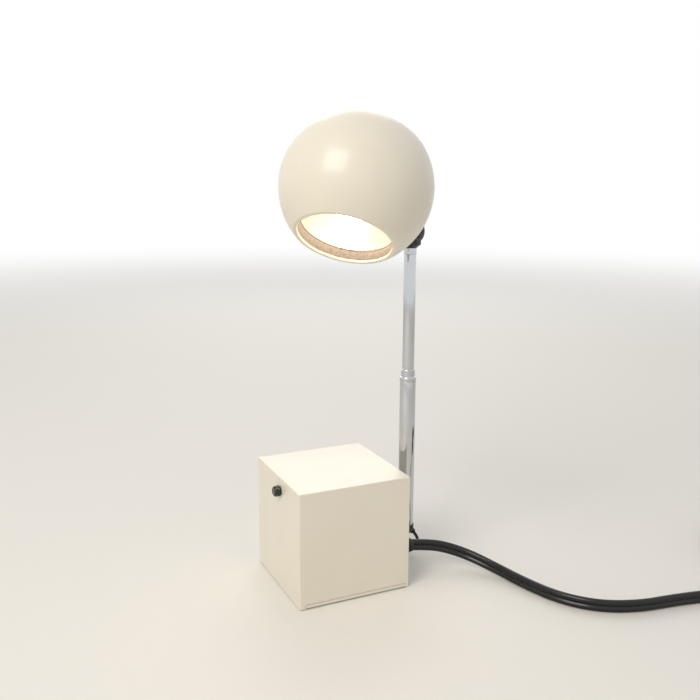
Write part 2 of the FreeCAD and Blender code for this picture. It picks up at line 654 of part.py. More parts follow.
def stub():
    """The tilting stub that carries the ball, drawn about the ball's centre, hinge on +Y."""
    nut_y1 = foot_face() - STUB_WASHER_T
    nut_y0 = nut_y1 - STUB_NUT_L
    collar_y0 = BALL_R + SADDLE_WASHER_T
    collar_y1 = collar_y0 + STUB_COLLAR_L
    root_y1 = collar_y1 + STUB_ROOT_SHARE * STUB_NECK_L
    lug_y0 = BALL_ARM - LUG_R
    shaft = cyl(STUB_R, (0, STUB_END, 0), (0, collar_y0 + WELD, 0))
    neck_r = LUG_HALF - RUNNING
    neck = cyl(neck_r, (0, root_y1 - WELD, 0), (0, lug_y0 + STUB_LUG_IN, 0))
    collar = cyl(STUB_COLLAR_R, (0, collar_y0, 0), (0, collar_y1, 0))
    lug = cyl(LUG_R, (-LUG_HALF, BALL_ARM, 0), (LUG_HALF, BALL_ARM, 0))
    root = cone(STUB_COLLAR_R, neck_r, (0, collar_y1, 0), (0, root_y1, 0))
    arm_piece = shaft.fuse([collar, root, neck, lug])
    arm_piece = arm_piece.cut(cyl(STUB_BORE_R, (0, STUB_END - OVER, 0), (0, lug_y0 + OVER, 0)))
    bore = HINGE_SCREW_R + RUNNING
    side = LUG_HALF + OVER
    arm_piece = arm_piece.cut(cyl(bore, (-side, BALL_ARM, 0), (side, BALL_ARM, 0)))
    add_stub("stub_arm", solid_of(arm_piece))

    washer = cyl(SADDLE_WASHER_R, (0, BALL_IN, 0), (0, collar_y0, 0))
    washer = washer.cut(Part.makeSphere(BALL_R + BALL_GAP)).cut(cyl(STUB_R, (0, 0, 0), (0, BALL_ARM, 0)))
    add_stub("saddle_washer", solid_of(washer))
    add_stub("stub_washer", ring(STUB_WASHER_R, STUB_R, (0, nut_y1, 0), (0, foot_face(), 0)))
    add_stub("stub_nut", hexagon(STUB_NUT_R, (0, nut_y0, 0), (0, nut_y1, 0), STUB_R))


def foot_face():
    """The inner face of the bracket's foot, where the stub's washer bears."""
    return BALL_IN - CUP_T - BRACKET_T


def shade():
    """The ball, drawn about its own centre with the stub's hole on +Y."""
    lean = FreeCAD.Placement(V(0, 0, 0), FreeCAD.Rotation(X_AXIS, -OPENING_LEAN))
    size = 2 * BALL_R
    cutter = placed(block(-size, size, -size, size, -size, -OPENING_DEPTH), lean)
    ball = Part.makeSphere(BALL_R).cut(Part.makeSphere(BALL_IN)).cut(cutter)
    hole = cyl(STUB_R + RUNNING, (0, 0, 0), (0, BALL_R + OVER, 0))
    add_shade("ball_shell", solid_of(ball.cut(hole)))

    cup_y0 = BALL_IN - CUP_T
    cup = cyl(CUP_R, (0, cup_y0, 0), (0, BALL_R, 0)).common(Part.makeSphere(BALL_IN))
    add_shade("inner_cup", solid_of(cup.cut(hole)))

    foot = block(-BRACKET_HALF_W, BRACKET_HALF_W, foot_face(), cup_y0, -BRACKET_HALF_W,
                 BRACKET_Z - BRACKET_TOP_IN).cut(hole)
    strip_z1 = BRACKET_Z + BRACKET_T
    strip = block(-STRIP_HALF_W, STRIP_HALF_W, SOCKET_R, cup_y0 + WELD, BRACKET_Z, strip_z1)
    clip = cyl(SOCKET_R + CLIP_WALL, (0, 0, BRACKET_Z - CLIP_LIP), (0, 0, strip_z1 + CLIP_LIP))
    strip = strip.fuse(clip).cut(cyl(SOCKET_R, (0, 0, 0), (0, 0, BALL_R)))
    strip = placed(strip, lean).cut(block(-size, size, cup_y0, size, -size, size))
    wire_hole = tube(head_lead_route(), HEAD_LEAD_R + HEAD_LEAD_HOLE, "wire hole", 1)
    add_shade("socket_bracket", solid_of(foot.fuse(strip).cut(wire_hole)))


def optics():
    """Baffle, reflector, socket and bulb, drawn along the opening's axis."""
    baffle_z0 = -OPENING_DEPTH + BAFFLE_INSET
    baffle_z1 = baffle_z0 + BAFFLE_L
    add_optic("baffle_ring", ring(BAFFLE_R, BAFFLE_R - BAFFLE_WALL, (0, 0, baffle_z0), (0, 0, baffle_z1)))

    neck_r = SOCKET_R + RUNNING
    wall = REFLECTOR_WALL
    inside = [V(BAFFLE_R - wall, 0, baffle_z1), V(REFLECTOR_MID_R - wall, 0, REFLECTOR_MID_Z),
              V(neck_r, 0, REFLECTOR_NECK_Z - wall)]
    outside = [V(BAFFLE_R, 0, baffle_z1), V(REFLECTOR_MID_R, 0, REFLECTOR_MID_Z + wall),
               V(neck_r, 0, REFLECTOR_NECK_Z)]
    profile = Part.Wire([
        Part.Arc(*inside).toShape(),
        Part.makeLine(inside[2], outside[2]),
        Part.Arc(*reversed(outside)).toShape(),
        Part.makeLine(outside[0], inside[0]),
    ])
    add_optic("reflector", spun(profile))

    socket = ring(SOCKET_R, SOCKET_R - SOCKET_WALL, (0, 0, SOCKET_Z0), (0, 0, SOCKET_Z1))
    flange_z = REFLECTOR_NECK_Z
    flange = ring(SOCKET_R + SOCKET_FLANGE_OUT, SOCKET_R - SOCKET_WALL, (0, 0, flange_z),
                  (0, 0, flange_z + SOCKET_FLANGE_T))
    socket = socket.fuse(flange)
    pin_z = CAP_Z0 + CAP_PIN_Z
    for side in (-1, 1):
        x0, x1 = sorted((side * (CAP_R - OVER), side * (SOCKET_R + OVER)))
        half = CAP_PIN_R + SEAM
        socket = socket.cut(block(x0, x1, -half, half, SOCKET_Z0 - OVER, pin_z + half))
    add_optic("lamp_socket", solid_of(socket))

    insulator_z0 = SOCKET_Z1 - INSULATOR_T
    cap_top = CAP_Z0 + CAP_L
    hollow = SOCKET_R - SOCKET_WALL
    insulator = cyl(hollow, (0, 0, insulator_z0), (0, 0, SOCKET_Z1))
    contacts = []
    for side in (-1, 1):
        x = side * CONTACT_APART / 2
        insulator = insulator.cut(cyl(CONTACT_R, (x, 0, insulator_z0 - OVER), (x, 0, SOCKET_Z1 + OVER)))
        contacts.append(cyl(CONTACT_R, (x, 0, cap_top), (x, 0, SOCKET_Z1)))
    add_optic("socket_insulator", insulator)
    add_optic("socket_contacts", group(*contacts))

    cap = cyl(CAP_R, (0, 0, CAP_Z0), (0, 0, cap_top))
    cap = cap.makeFillet(CAP_EDGE_R, edges_at(cap, lambda c: c.z > cap_top - RUNNING))
    pins = cyl(CAP_PIN_R, (-CAP_R - CAP_PIN_OUT, 0, pin_z), (CAP_R + CAP_PIN_OUT, 0, pin_z))
    add_optic("bulb_cap", solid_of(cap.fuse(pins)))
    glass = Part.makeSphere(BULB_R, V(0, 0, BULB_Z))
    glass = glass.fuse(cyl(BULB_NECK_R, (0, 0, BULB_Z), (0, 0, CAP_Z0)))
    add_optic("bulb_glass", solid_of(glass))


def head_lead_route():
    """The wire's way from the back of the socket, over it and into the bore of the stub."""
    lean = FreeCAD.Placement(V(0, 0, 0), FreeCAD.Rotation(X_AXIS, -OPENING_LEAN))
    start = placed(Part.Vertex(0, 0, SOCKET_Z1), lean).Point
    tip = STUB_END + HEAD_LEAD_IN
    reach = tip - start.y
    top = start.z + HEAD_LEAD_RISE
    return [
        (0, start.y, start.z),
        (0, start.y + 0.015 * reach, start.z + 0.75 * HEAD_LEAD_RISE),
        (0, start.y + 0.21 * reach, top),
        (0, start.y + 0.42 * reach, 0.56 * top),
        (0, start.y + 0.55 * reach, 0.17 * top),
        (0, start.y + 0.73 * reach, 0),
        (0, tip, 0),
    ]


def head_lead():
    """The lamp's wire inside the ball."""
    add_shade("head_lead", tube(head_lead_route(), HEAD_LEAD_R, "head lead", 2.5))


def rounded(points):
    """Straight runs joined by tangent arcs, as edges, with the arcs' radii."""
    spots = [V(*p) for p in points]
    edges = []
    radii = []
    at = spots[0]
    for before, corner, after in zip(spots, spots[1:], spots[2:]):
        run_in = corner - before
        run_out = after - corner
        cut = 0.45 * min(run_in.Length, run_out.Length)
        turn = run_in.getAngle(run_out)
        radii.append(cut / math.tan(turn / 2))
        first = corner - V(run_in).normalize() * cut
        last = corner + V(run_out).normalize() * cut
        inward = (V(run_out).normalize() - V(run_in).normalize()).normalize()
        depth = radii[-1] * (1 / math.cos(turn / 2) - 1)
        edges.append(Part.LineSegment(at, first).toShape())
        edges.append(Part.Arc(first, corner + inward * depth, last).toShape())
        at = last
    edges.append(Part.LineSegment(at, spots[-1]).toShape())
    return edges, radii


def tube(points, radius, name, least):
    """A round tube along a hand-made route, with its radii and volume printed."""
    edges, radii = rounded(points)
    wire = Part.Wire(edges)
    start = edges[0].valueAt(edges[0].FirstParameter)
    heading = V(*points[1]) - V(*points[0])
    circle = Part.Wire([Part.Circle(start, heading, radius).toShape()])
    solid = wire.makePipeShell([circle], True, False)
    share = solid.Volume / (math.pi * radius ** 2 * wire.Length)
    print(name, "radii", [round(r, 1) for r in radii], "least allowed", round(least * 2 * radius, 1),
          "length", round(wire.Length, 1), "volume share", round(share, 5), "valid", solid.isValid())
    return solid


def biarc(p0, t0, p1, t1):
    """Two arcs that leave p0 along t0 and reach p1 along t1."""
    v = p1 - p0
    t = t0 + t1
    spread = 2 * (1 - t0.dot(t1))
    reach = (-v.dot(t) + math.sqrt(v.dot(t) ** 2 + spread * v.dot(v))) / spread
    middle = (p0 + p1 + (t0 - t1) * reach) * 0.5
    return [arc_from(p0, t0, middle), arc_to(middle, p1, t1)]


def arc_from(start, heading, end):
    """An arc that leaves its start along a heading."""
    chord = end - start
    half = heading.getAngle(chord)
    along = V(chord).normalize()
    side = (heading - along * heading.dot(along)).normalize()
    top = start + chord * 0.5 + side * (chord.Length / 2 * math.tan(half / 2))
    return Part.Arc(start, top, end).toShape()


def arc_to(start, end, heading):
    """An arc that reaches its end along a heading."""
    chord = end - start
    half = heading.getAngle(chord)
    along = V(chord).normalize()
    side = (heading - along * heading.dot(along)).normalize()
    top = start + chord * 0.5 - side * (chord.Length / 2 * math.tan(half / 2))
    return Part.Arc(start, top, end).toShape()


def coil_at(turn):
    """The coil's centre line after a number of turns: in on the floor, up, and out on top."""
    back = COIL_TURNS / 2.0
    inward = min(turn, back) - max(turn - back, 0)
    radius = COIL_R - COIL_PITCH * inward
    climb = min(max((turn - back + 0.25) / 0.5, 0), 1)
    angle = math.radians(COIL_START + 360 * turn)
    x = COIL_CENTRE[0] + radius * math.cos(angle)
    y = COIL_CENTRE[1] + radius * math.sin(angle)
    return V(x, y, CORD_R + COIL_LAYER * climb * climb * (3 - 2 * climb))


def coil_heading(turn):
    """The direction of the coil's centre line."""
    step = 0.01
    low = max(turn - step, 0)
    high = min(turn + step, COIL_TURNS)
    return (coil_at(high) - coil_at(low)).normalize()


def around(degrees):
    """The way the coil runs at an angle about its centre."""
    angle = math.radians(degrees)
    return V(-math.sin(angle), math.cos(angle), 0)


def coil():
    """The put-away coil as one unbroken tube on biarcs of about a quarter turn."""
    steps = round(4 * COIL_TURNS)
    marks = [COIL_TURNS * k / steps for k in range(steps + 1)]
    spots = [coil_at(m) for m in marks]
    headings = [coil_heading(m) for m in marks]
    headings[0] = around(COIL_START)
    headings[-1] = around(COIL_EXIT)
    edges = []
    for k in range(len(marks) - 1):
        edges += biarc(spots[k], headings[k], spots[k + 1], headings[k + 1])
    wire = Part.Wire(edges)
    circle = Part.Wire([Part.Circle(spots[0], headings[0], CORD_R).toShape()])
    solid = wire.makePipeShell([circle], True, False)
    share = solid.Volume / (math.pi * CORD_R ** 2 * wire.Length)
    line = [p for e in edges for p in e.discretize(24)[:-1]]
    far = 60
    pairs = [(a, b) for a in range(len(line)) for b in range(a + far, len(line))]
    least = min(line[a].distanceToPoint(line[b]) for a, b in pairs)
    print("coil length", round(wire.Length, 1), "volume share", round(share, 5), "valid", solid.isValid(),
          "least gap to itself", round(least - 2 * CORD_R, 2))
    return solid


def cord():
    """Strain relief, cord, put-away coil, tail and plug."""
    tip_y = HALF + RELIEF_OUT
    in_y = IN_WALL - RELIEF_IN
    relief = cyl(RELIEF_R0, (CORD_X, in_y, CORD_Z), (CORD_X, HALF, CORD_Z))
    relief = relief.fuse([
        cone(RELIEF_R0, RELIEF_R1, (CORD_X, HALF, CORD_Z), (CORD_X, tip_y, CORD_Z)),
        cyl(RELIEF_FLANGE_R, (CORD_X, HALF, CORD_Z), (CORD_X, HALF + RELIEF_FLANGE_T, CORD_Z)),
        cyl(RELIEF_FLANGE_R, (CORD_X, IN_WALL - RELIEF_FLANGE_T, CORD_Z), (CORD_X, IN_WALL, CORD_Z)),
    ])
    start = (CORD_X, tip_y, CORD_Z)
    relief = relief.cut(cyl(CORD_R, start, CORD_ROUTE[0]))
    add("strain_relief", solid_of(relief))

    into_coil = coil_at(0)
    route = [start] + CORD_ROUTE + [(into_coil.x, into_coil.y, into_coil.z)]
    add("cord_stretch", tube(route, CORD_R, "cord", 5))
    add("cord_coil", coil())
    out_of_coil = coil_at(COIL_TURNS)
    tail = [(out_of_coil.x, out_of_coil.y, out_of_coil.z)] + TAIL_ROUTE + [PLUG_AT]
    add("cord_tail", tube(tail, CORD_R, "tail", 5))

    heading = (V(*PLUG_AT) - V(*TAIL_ROUTE[-1])).normalize()
    where = FreeCAD.Placement(V(*PLUG_AT), FreeCAD.Rotation(X_AXIS, heading))
    half_w = PLUG_W / 2
    half_t = PLUG_T / 2
    face = PLUG_BOOT_L + PLUG_L
    body = block(PLUG_BOOT_L, face, -half_w, half_w, -half_t, half_t)
    middle = PLUG_BOOT_L + PLUG_L / 2
    body = body.makeFillet(PLUG_SIDE_R, edges_at(body, lambda c: abs(c.x - middle) < RUNNING))
    body = body.makeFillet(PLUG_BACK_R, edges_at(body, lambda c: c.x < PLUG_BOOT_L + RUNNING))
    body = body.fuse(cone(PLUG_BOOT_R0, PLUG_BOOT_R1, (0, 0, 0), (PLUG_BOOT_L + WELD, 0, 0)))
    add("plug_body", placed(solid_of(body), where))
    blades = [block(face, face + BLADE_L, y - BLADE_T / 2, y + BLADE_T / 2, -BLADE_W / 2, BLADE_W / 2)
              for y in (-BLADE_APART / 2, BLADE_APART / 2)]
    add("plug_blades", placed(group(*blades), where))


def leads():
    """The lead from the boot to the base, and the wiring inside the base."""
    start = outlet_end()
    end = (GROMMET_X, HALF + GROMMET_LIP_T, GROMMET_Z)
    route = [(start.x, start.y, start.z)] + ARM_LEAD_ROUTE + [end]
    add("arm_lead", tube(route, ARM_LEAD_R, "arm lead", 3))


def main():
    """Builds every piece and writes its file."""
    base()
    transformer()
    switch()
    pivot()
    arm()
    leads()
    knuckle()
    stub()
    shade()
    optics()
    head_lead()
    cord()
    os.makedirs("parts", exist_ok=True)
    for name, shape in sorted(NODES.items()):
        solids = shape.Solids
        print(name, "solids", len(solids), "valid", shape.isValid(), "volume", round(shape.Volume, 1))
        shape.exportStep(os.path.join("parts", name + ".step"))
    print(len(NODES), "nodes")


main()
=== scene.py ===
"""Looks of the tabletop searchlight lamp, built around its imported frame.

The cube base, the telescopic arm, the ball shade and the mains cord are each a class that
builds its meshes and dresses them. Lengths are in metres unless a name ends in _mm. A field
that ends in _steps_mm holds corners of a turned outline, as radius and height.
"""

import logging
import math
from dataclasses import dataclass
from enum import Enum
from typing import Any, Iterable, Sequence

import bmesh
import bpy
from mathutils import Matrix, Vector


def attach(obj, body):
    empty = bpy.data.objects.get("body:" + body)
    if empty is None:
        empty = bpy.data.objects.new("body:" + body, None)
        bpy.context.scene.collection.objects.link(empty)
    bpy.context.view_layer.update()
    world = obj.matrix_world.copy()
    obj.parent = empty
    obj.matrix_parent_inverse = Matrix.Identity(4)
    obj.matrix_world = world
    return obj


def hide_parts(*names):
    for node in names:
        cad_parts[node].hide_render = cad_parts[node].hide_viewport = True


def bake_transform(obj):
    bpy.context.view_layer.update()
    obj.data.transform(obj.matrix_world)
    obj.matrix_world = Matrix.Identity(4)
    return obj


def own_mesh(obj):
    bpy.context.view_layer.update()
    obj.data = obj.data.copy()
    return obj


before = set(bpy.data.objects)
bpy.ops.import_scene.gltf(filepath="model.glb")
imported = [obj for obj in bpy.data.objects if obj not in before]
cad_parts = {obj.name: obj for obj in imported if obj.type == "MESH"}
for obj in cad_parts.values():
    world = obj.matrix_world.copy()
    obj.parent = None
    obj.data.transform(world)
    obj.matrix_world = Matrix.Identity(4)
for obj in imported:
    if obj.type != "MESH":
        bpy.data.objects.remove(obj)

logging.basicConfig(level=logging.INFO, format="%(message)s")
LOG = logging.getLogger("lamp")

MM = 0.001
CREASE_DEG = 40.0
NECK_TOP_MM = 217.9

Pair = tuple[float, float]
Point = tuple[float, float, float]
Four = tuple[float, float, float, float]
Steps = tuple[Pair, ...]
Profile = list[Pair]
Piece = bpy.types.Object
Tree = bpy.types.NodeTree
Socket = bpy.types.NodeSocket


class Body(Enum):
    """The bodies that new pieces ride on."""

    BASE = "base"
    KNOB = "switch_knob"
    LOWER = "lower_arm"
    MIDDLE = "middle_section"
    INNER = "inner_section"
    SHADE = "shade"


class Corner(Enum):
    """How an edge of a turned piece is finished, as a radius in metres."""

    KEEN = 0.00008
    BROKEN = 0.0002
    SOFT = 0.0005


def linear(hex_colour: str) -> Four:
    """Turns an sRGB hex colour to linear light.

    Args:
        hex_colour: A colour such as "#F2EBD8".

    Returns:
        Linear red, green, blue and an alpha of one.
    """
    channels = [int(hex_colour[i:i + 2], 16) / 255 for i in (1, 3, 5)]
    spread = [c / 12.92 if c <= 0.04045 else ((c + 0.055) / 1.055) ** 2.4 for c in channels]
    return (spread[0], spread[1], spread[2], 1.0)


def add_node(tree: Tree, kind: str, inputs: dict[Any, Any] | None = None,
             **settings: Any) -> bpy.types.Node:
    """Adds one node with its settings, its fixed inputs and its links.

    Args:
        tree: The node tree that gets the node.
        kind: The node's type name.
        inputs: Socket name or index to a value, or to the output that feeds it.
        **settings: The node's own properties.

    Returns:
        The new node.
    """
    made = tree.nodes.new(kind)
    for key, value in settings.items():
        setattr(made, key, value)
    for key, value in (inputs or {}).items():
        if isinstance(value, Socket):
            tree.links.new(value, made.inputs[key])
        else:
            made.inputs[key].default_value = value
    return made


def blank_tree(owner: bpy.types.Material | bpy.types.World) -> Tree:
    """Gives a new material or world an empty node tree.

    Args:
        owner: The material or world.

    Returns:
        Its tree.
    """
    owner.use_nodes = True
    owner.node_tree.nodes.clear()
    return owner.node_tree


def per_metre(size_mm: float) -> float:
    """The scale of a pattern whose grains are this many millimetres across."""
    return 1.0 / (size_mm * MM)


@dataclass(frozen=True)
class Finish:
    """A finish of one material, with fine relief and slow variation in tone and gloss.

    The relief is what keeps the highlight from looking like a computed one, and the
    variation is what handling and dust leave on any real surface. The gloss swings over
    patch_span, the values that the slow noise mostly has.
    """

    name: str
    colour: str
    shade: str
    roughness: float
    metallic: float = 0.0
    ior: float = 1.5
    grain_mm: float = 0.5
    relief_mm: float = 0.004
    patch_mm: float = 30.0
    patch_span: Pair = (0.3, 0.7)
    gloss_swing: float = 0.05
    least_roughness: float = 0.02

    def build(self) -> bpy.types.Material:
        """Makes the material, or finds the one made before.

        Returns:
            The material.
        """
        known = bpy.data.materials.get(self.name)
        if known:
            return known
        material = bpy.data.materials.new(self.name)
        tree = blank_tree(material)
        coords = add_node(tree, "ShaderNodeTexCoord").outputs["Object"]
        patches = add_node(tree, "ShaderNodeTexNoise", {
            "Vector": coords, "Scale": per_metre(self.patch_mm), "Detail": 4.0, "Roughness": 0.6})
        tone = self.tone(tree, coords, patches.outputs["Fac"])
        gloss = add_node(tree, "ShaderNodeMapRange", {
            "Value": patches.outputs["Fac"], "From Min": self.patch_span[0], "From Max": self.patch_span[1],
            "To Min": max(self.roughness - self.gloss_swing, self.least_roughness),
            "To Max": self.roughness + self.gloss_swing})
        relief = add_node(tree, "ShaderNodeBump", {
            "Height": self.height(tree, coords), "Distance": self.relief_mm * MM, "Strength": 1.0})
        shader = add_node(tree, "ShaderNodeBsdfPrincipled", {
            "Base Color": tone, "Roughness": gloss.outputs["Result"], "Metallic": self.metallic,
            "IOR": self.ior, "Normal": relief.outputs["Normal"]})
        self.extra(shader)
        add_node(tree, "ShaderNodeOutputMaterial", {"Surface": shader.outputs["BSDF"]})
        return material

    def tone(self, tree: Tree, coords: Socket, patches: Socket) -> Socket:
        """Mixes the two colours of the finish in slow patches.

        Args:
            tree: The material's node tree.
            coords: Object coordinates, for what a kind of finish adds.
            patches: The slow noise.

        Returns:
            The colour output.
        """
        mix = add_node(tree, "ShaderNodeMix", {
            "Factor": patches, 6: linear(self.colour), 7: linear(self.shade)}, data_type="RGBA")
        return mix.outputs[2]

    def height(self, tree: Tree, coords: Socket) -> Socket:
        """The relief of the surface, as a noise of the grain's size."""
        grain = add_node(tree, "ShaderNodeTexNoise", {
            "Vector": coords, "Scale": per_metre(self.grain_mm), "Detail": 3.0})
        return grain.outputs["Fac"]

    def extra(self, shader: bpy.types.Node) -> None:
        """Sets what only one kind of finish has, such as a coat."""


@dataclass(frozen=True)
class Enamel(Finish):
    """Stoved enamel on zinc and spun steel: the wet spray dries to a faint orange peel under a clear gloss.

    A speck of dust fades out over dust_reach, in shares of the gap between specks.
    """

    coat: float = 0.25
    coat_roughness: float = 0.12
    dust: str = "#B9AB8C"
    dust_gap_mm: float = 4.5
    dust_reach: Pair = (0.03, 0.055)
    dust_share: float = 0.35

    def extra(self, shader: bpy.types.Node) -> None:
        """A thin clear film, as the paint's own binder gives."""
        shader.inputs["Coat Weight"].default_value = self.coat
        shader.inputs["Coat Roughness"].default_value = self.coat_roughness

    def tone(self, tree: Tree, coords: Socket, patches: Socket) -> Socket:
        """Adds sparse dust specks, a third of a millimetre across, to the slow yellowing.

        Args:
            tree: The material's node tree.
            coords: Object coordinates.
            patches: The slow noise.

        Returns:
            The colour output.
        """
        aged = super().tone(tree, coords, patches)
        cells = add_node(tree, "ShaderNodeTexVoronoi", {
            "Vector": coords, "Scale": per_metre(self.dust_gap_mm)})
        speck = add_node(tree, "ShaderNodeMapRange", {
            "Value": cells.outputs["Distance"],
            "From Min": self.dust_reach[0], "From Max": self.dust_reach[1],
            "To Min": self.dust_share, "To Max": 0.0})
        dusty = add_node(tree, "ShaderNodeMix", {
            "Factor": speck.outputs["Result"], 6: aged, 7: linear(self.dust)}, data_type="RGBA")
        return dusty.outputs[2]


@dataclass(frozen=True)
class DrawnMetal(Finish):
    """Plated or bare metal with hair-fine marks, from drawing, turning or spinning.

    The real marks are finer than the render can show, so they are drawn at the coarsest
    that still reads as hairlines.
    """

    stretch: Point = (1.0, 1.0, 0.04)
    mark_mm: float = 0.25

    def height(self, tree: Tree, coords: Socket) -> Socket:
        """Noise that is pulled out along the marks.

        Args:
            tree: The material's node tree.
            coords: Object coordinates.

        Returns:
            The height output.
        """
        pulled = add_node(tree, "ShaderNodeVectorMath", {0: coords, 1: self.stretch}, operation="MULTIPLY")
        marks = add_node(tree, "ShaderNodeTexNoise", {
            "Vector": pulled.outputs["Vector"], "Scale": per_metre(self.mark_mm), "Detail": 2.0})
        return marks.outputs["Fac"]


@dataclass(frozen=True)
class Speckled(Finish):
    """Sprayed matt paint with a coarse grit in it, which kills stray light: it looks like fine sand."""

    grit: str = "#6E6252"
    grit_mm: float = 0.95
    grit_span: Pair = (0.54, 0.64)
    grit_share: float = 0.8

    def tone(self, tree: Tree, coords: Socket, patches: Socket) -> Socket:
        """Lays dark grains over the base colour.

        Args:
            tree: The material's node tree.
            coords: Object coordinates.
            patches: The slow noise.

        Returns:
            The colour output.
        """
        ground = super().tone(tree, coords, patches)
        grains = add_node(tree, "ShaderNodeTexNoise", {
            "Vector": coords, "Scale": per_metre(self.grit_mm), "Detail": 2.0, "Roughness": 0.7})
        dark = add_node(tree, "ShaderNodeMapRange", {
            "Value": grains.outputs["Fac"], "From Min": self.grit_span[0], "From Max": self.grit_span[1],
            "To Min": 0.0, "To Max": self.grit_share})
        mix = add_node(tree, "ShaderNodeMix", {
            "Factor": dark.outputs["Result"], 6: ground, 7: linear(self.grit)}, data_type="RGBA")
        return mix.outputs[2]


@dataclass(frozen=True)
class Fibrous(Finish):
    """Pressed felt: short fibres lie every way, so it is matt with a faint light nap."""

    nap: float = 0.4
    nap_roughness: float = 0.5

    def extra(self, shader: bpy.types.Node) -> None:
        """The nap catches light at a glancing angle."""
        shader.inputs["Sheen Weight"].default_value = self.nap
        shader.inputs["Sheen Roughness"].default_value = self.nap_roughness


@dataclass(frozen=True)
class LitGlass(Finish):
    """Bulb glass frosted inside: the filament shows only as an even warm glow."""

    glow: str = "#FFEBD2"
    strength: float = 16.0

    def extra(self, shader: bpy.types.Node) -> None:
        """The glow of the lit lamp."""
        shader.inputs["Emission Color"].default_value = linear(self.glow)
        shader.inputs["Emission Strength"].default_value = self.strength


# Sprayed and stoved: a satin gloss over faint orange peel, a little yellowed.
IVORY_ENAMEL = Enamel("stoved_ivory_enamel", "#EAE4D5", "#E2DAC8", 0.36, ior=1.52, grain_mm=1.6,
                      relief_mm=0.006, patch_mm=45.0, gloss_swing=0.05)
# Plated over drawn tube: a clear mirror with hairlines along it.
CHROME_PLATE = DrawnMetal("chrome_plated_steel_tube", "#CDCFD2", "#C2C5C8", 0.06, metallic=1.0,
                          relief_mm=0.0004, patch_mm=12.0, gloss_swing=0.03)
# Plated over turned bar: a mirror with faint rings round its axis.
TURNED_CHROME = DrawnMetal("chrome_plated_turned_brass", "#CBCDD0", "#BEC1C4", 0.09, metallic=1.0,
                           relief_mm=0.0008, patch_mm=6.0, gloss_swing=0.04, stretch=(0.05, 0.05, 1.0))
# Lacquer baked on a casting: near black and half gloss, with a slightly uneven skin.
BLACK_LACQUER = Finish("black_lacquered_die_casting", "#0F0E0E", "#161514", 0.28, ior=1.5, grain_mm=0.5,
                       relief_mm=0.006, patch_mm=8.0, gloss_swing=0.06)
# Moulded under heat: deep black with a polished skin.
BLACK_KNOB = Finish("moulded_black_phenolic", "#0C0C0C", "#131211", 0.2, ior=1.6, grain_mm=0.4,
                    relief_mm=0.002, patch_mm=5.0, gloss_swing=0.05)
# Extruded: black with a waxy shine along each core.
BLACK_FLEX = Finish("extruded_black_pvc", "#080808", "#0E0D0D", 0.26, ior=1.46, grain_mm=0.8,
                    relief_mm=0.008, patch_mm=10.0, gloss_swing=0.07)
# Moulded: a dull brownish black with a fine texture.
BLACK_RUBBER = Finish("moulded_black_rubber", "#121110", "#191817", 0.5, ior=1.52, grain_mm=0.35,
                      relief_mm=0.012, patch_mm=7.0, gloss_swing=0.06)
# Pressed fibres: quite matt, with a broken surface.
BLACK_FELT = Fibrous("pressed_black_felt", "#191817", "#24221F", 0.95, grain_mm=0.35, relief_mm=0.12,
                     patch_mm=6.0, gloss_swing=0.03)
# Spun and anodised: bright but milky, with rings from the spinning tool.
SPUN_REFLECTOR = DrawnMetal("spun_anodised_aluminium", "#F1EFEA", "#E9E6DF", 0.3, metallic=0.9,
                            relief_mm=0.0006, patch_mm=14.0, gloss_swing=0.03, stretch=(0.2, 0.2, 1.0),
                            mark_mm=0.4)
# Sprayed with grit in it, drawn coarse enough to show: rough as sandpaper, so that it throws no glare.
BAFFLE_PAINT = Speckled("grit_filled_matt_paint", "#9A9188", "#8A8279", 0.85, grain_mm=0.4, relief_mm=0.05,
                        patch_mm=9.0, gloss_swing=0.05)
# Etched inside: a pale skin with no filament to be seen.
FROSTED_BULB = LitGlass("frosted_bulb_glass", "#FFF8EA", "#FFF3DC", 0.35, ior=1.5, grain_mm=0.3,
                        relief_mm=0.004, patch_mm=6.0, gloss_swing=0.05)
# Electroplated: blue-grey and a little cloudy.
ZINC_PLATED = DrawnMetal("zinc_plated_steel", "#B9BCBF", "#A3A6A8", 0.36, metallic=1.0, relief_mm=0.003,
                         patch_mm=7.0, gloss_swing=0.08)
# Thin plate over yellow metal: warm and softly bright.
NICKEL_BRASS = DrawnMetal("nickel_plated_brass", "#D8CFB4", "#C4B994", 0.28, metallic=1.0, relief_mm=0.002,
                          patch_mm=6.0, gloss_swing=0.06)
# Stacked sheets: dark grey, with their edges as fine lines.
SILICON_STEEL = DrawnMetal("stacked_silicon_steel", "#54565B", "#3E4044", 0.5, metallic=0.8, relief_mm=0.05,
                           patch_mm=9.0, gloss_swing=0.08, stretch=(0.02, 1.0, 0.02), mark_mm=0.7)
# Wound wire: copper red under varnish, with the turns as fine ridges.
ENAMELLED_COPPER = DrawnMetal("enamelled_copper_wire", "#B4632F", "#8F4A22", 0.3, metallic=0.85,
                              relief_mm=0.08, patch_mm=5.0, gloss_swing=0.06, stretch=(0.02, 0.02, 1.0),
                              mark_mm=0.5)
# Moulded without pigment: milky and a little waxy.
NATURAL_NYLON = Finish("moulded_natural_nylon", "#DCD8CB", "#CFCABA", 0.5, ior=1.53, grain_mm=0.4,
                       relief_mm=0.004, patch_mm=5.0)
# Hardened paper: brick red and dry.
RED_FIBRE = Finish("vulcanised_red_fibre", "#6B2F1C", "#552415", 0.7, ior=1.55, grain_mm=0.25,
                   relief_mm=0.02, patch_mm=3.0)
# Moulded in a textured tool: dark grey and flat.
GREY_PLASTIC = Finish("moulded_dark_grey_plastic", "#2A2A2B", "#333334", 0.45, ior=1.5, grain_mm=0.4,
                      relief_mm=0.006, patch_mm=6.0)

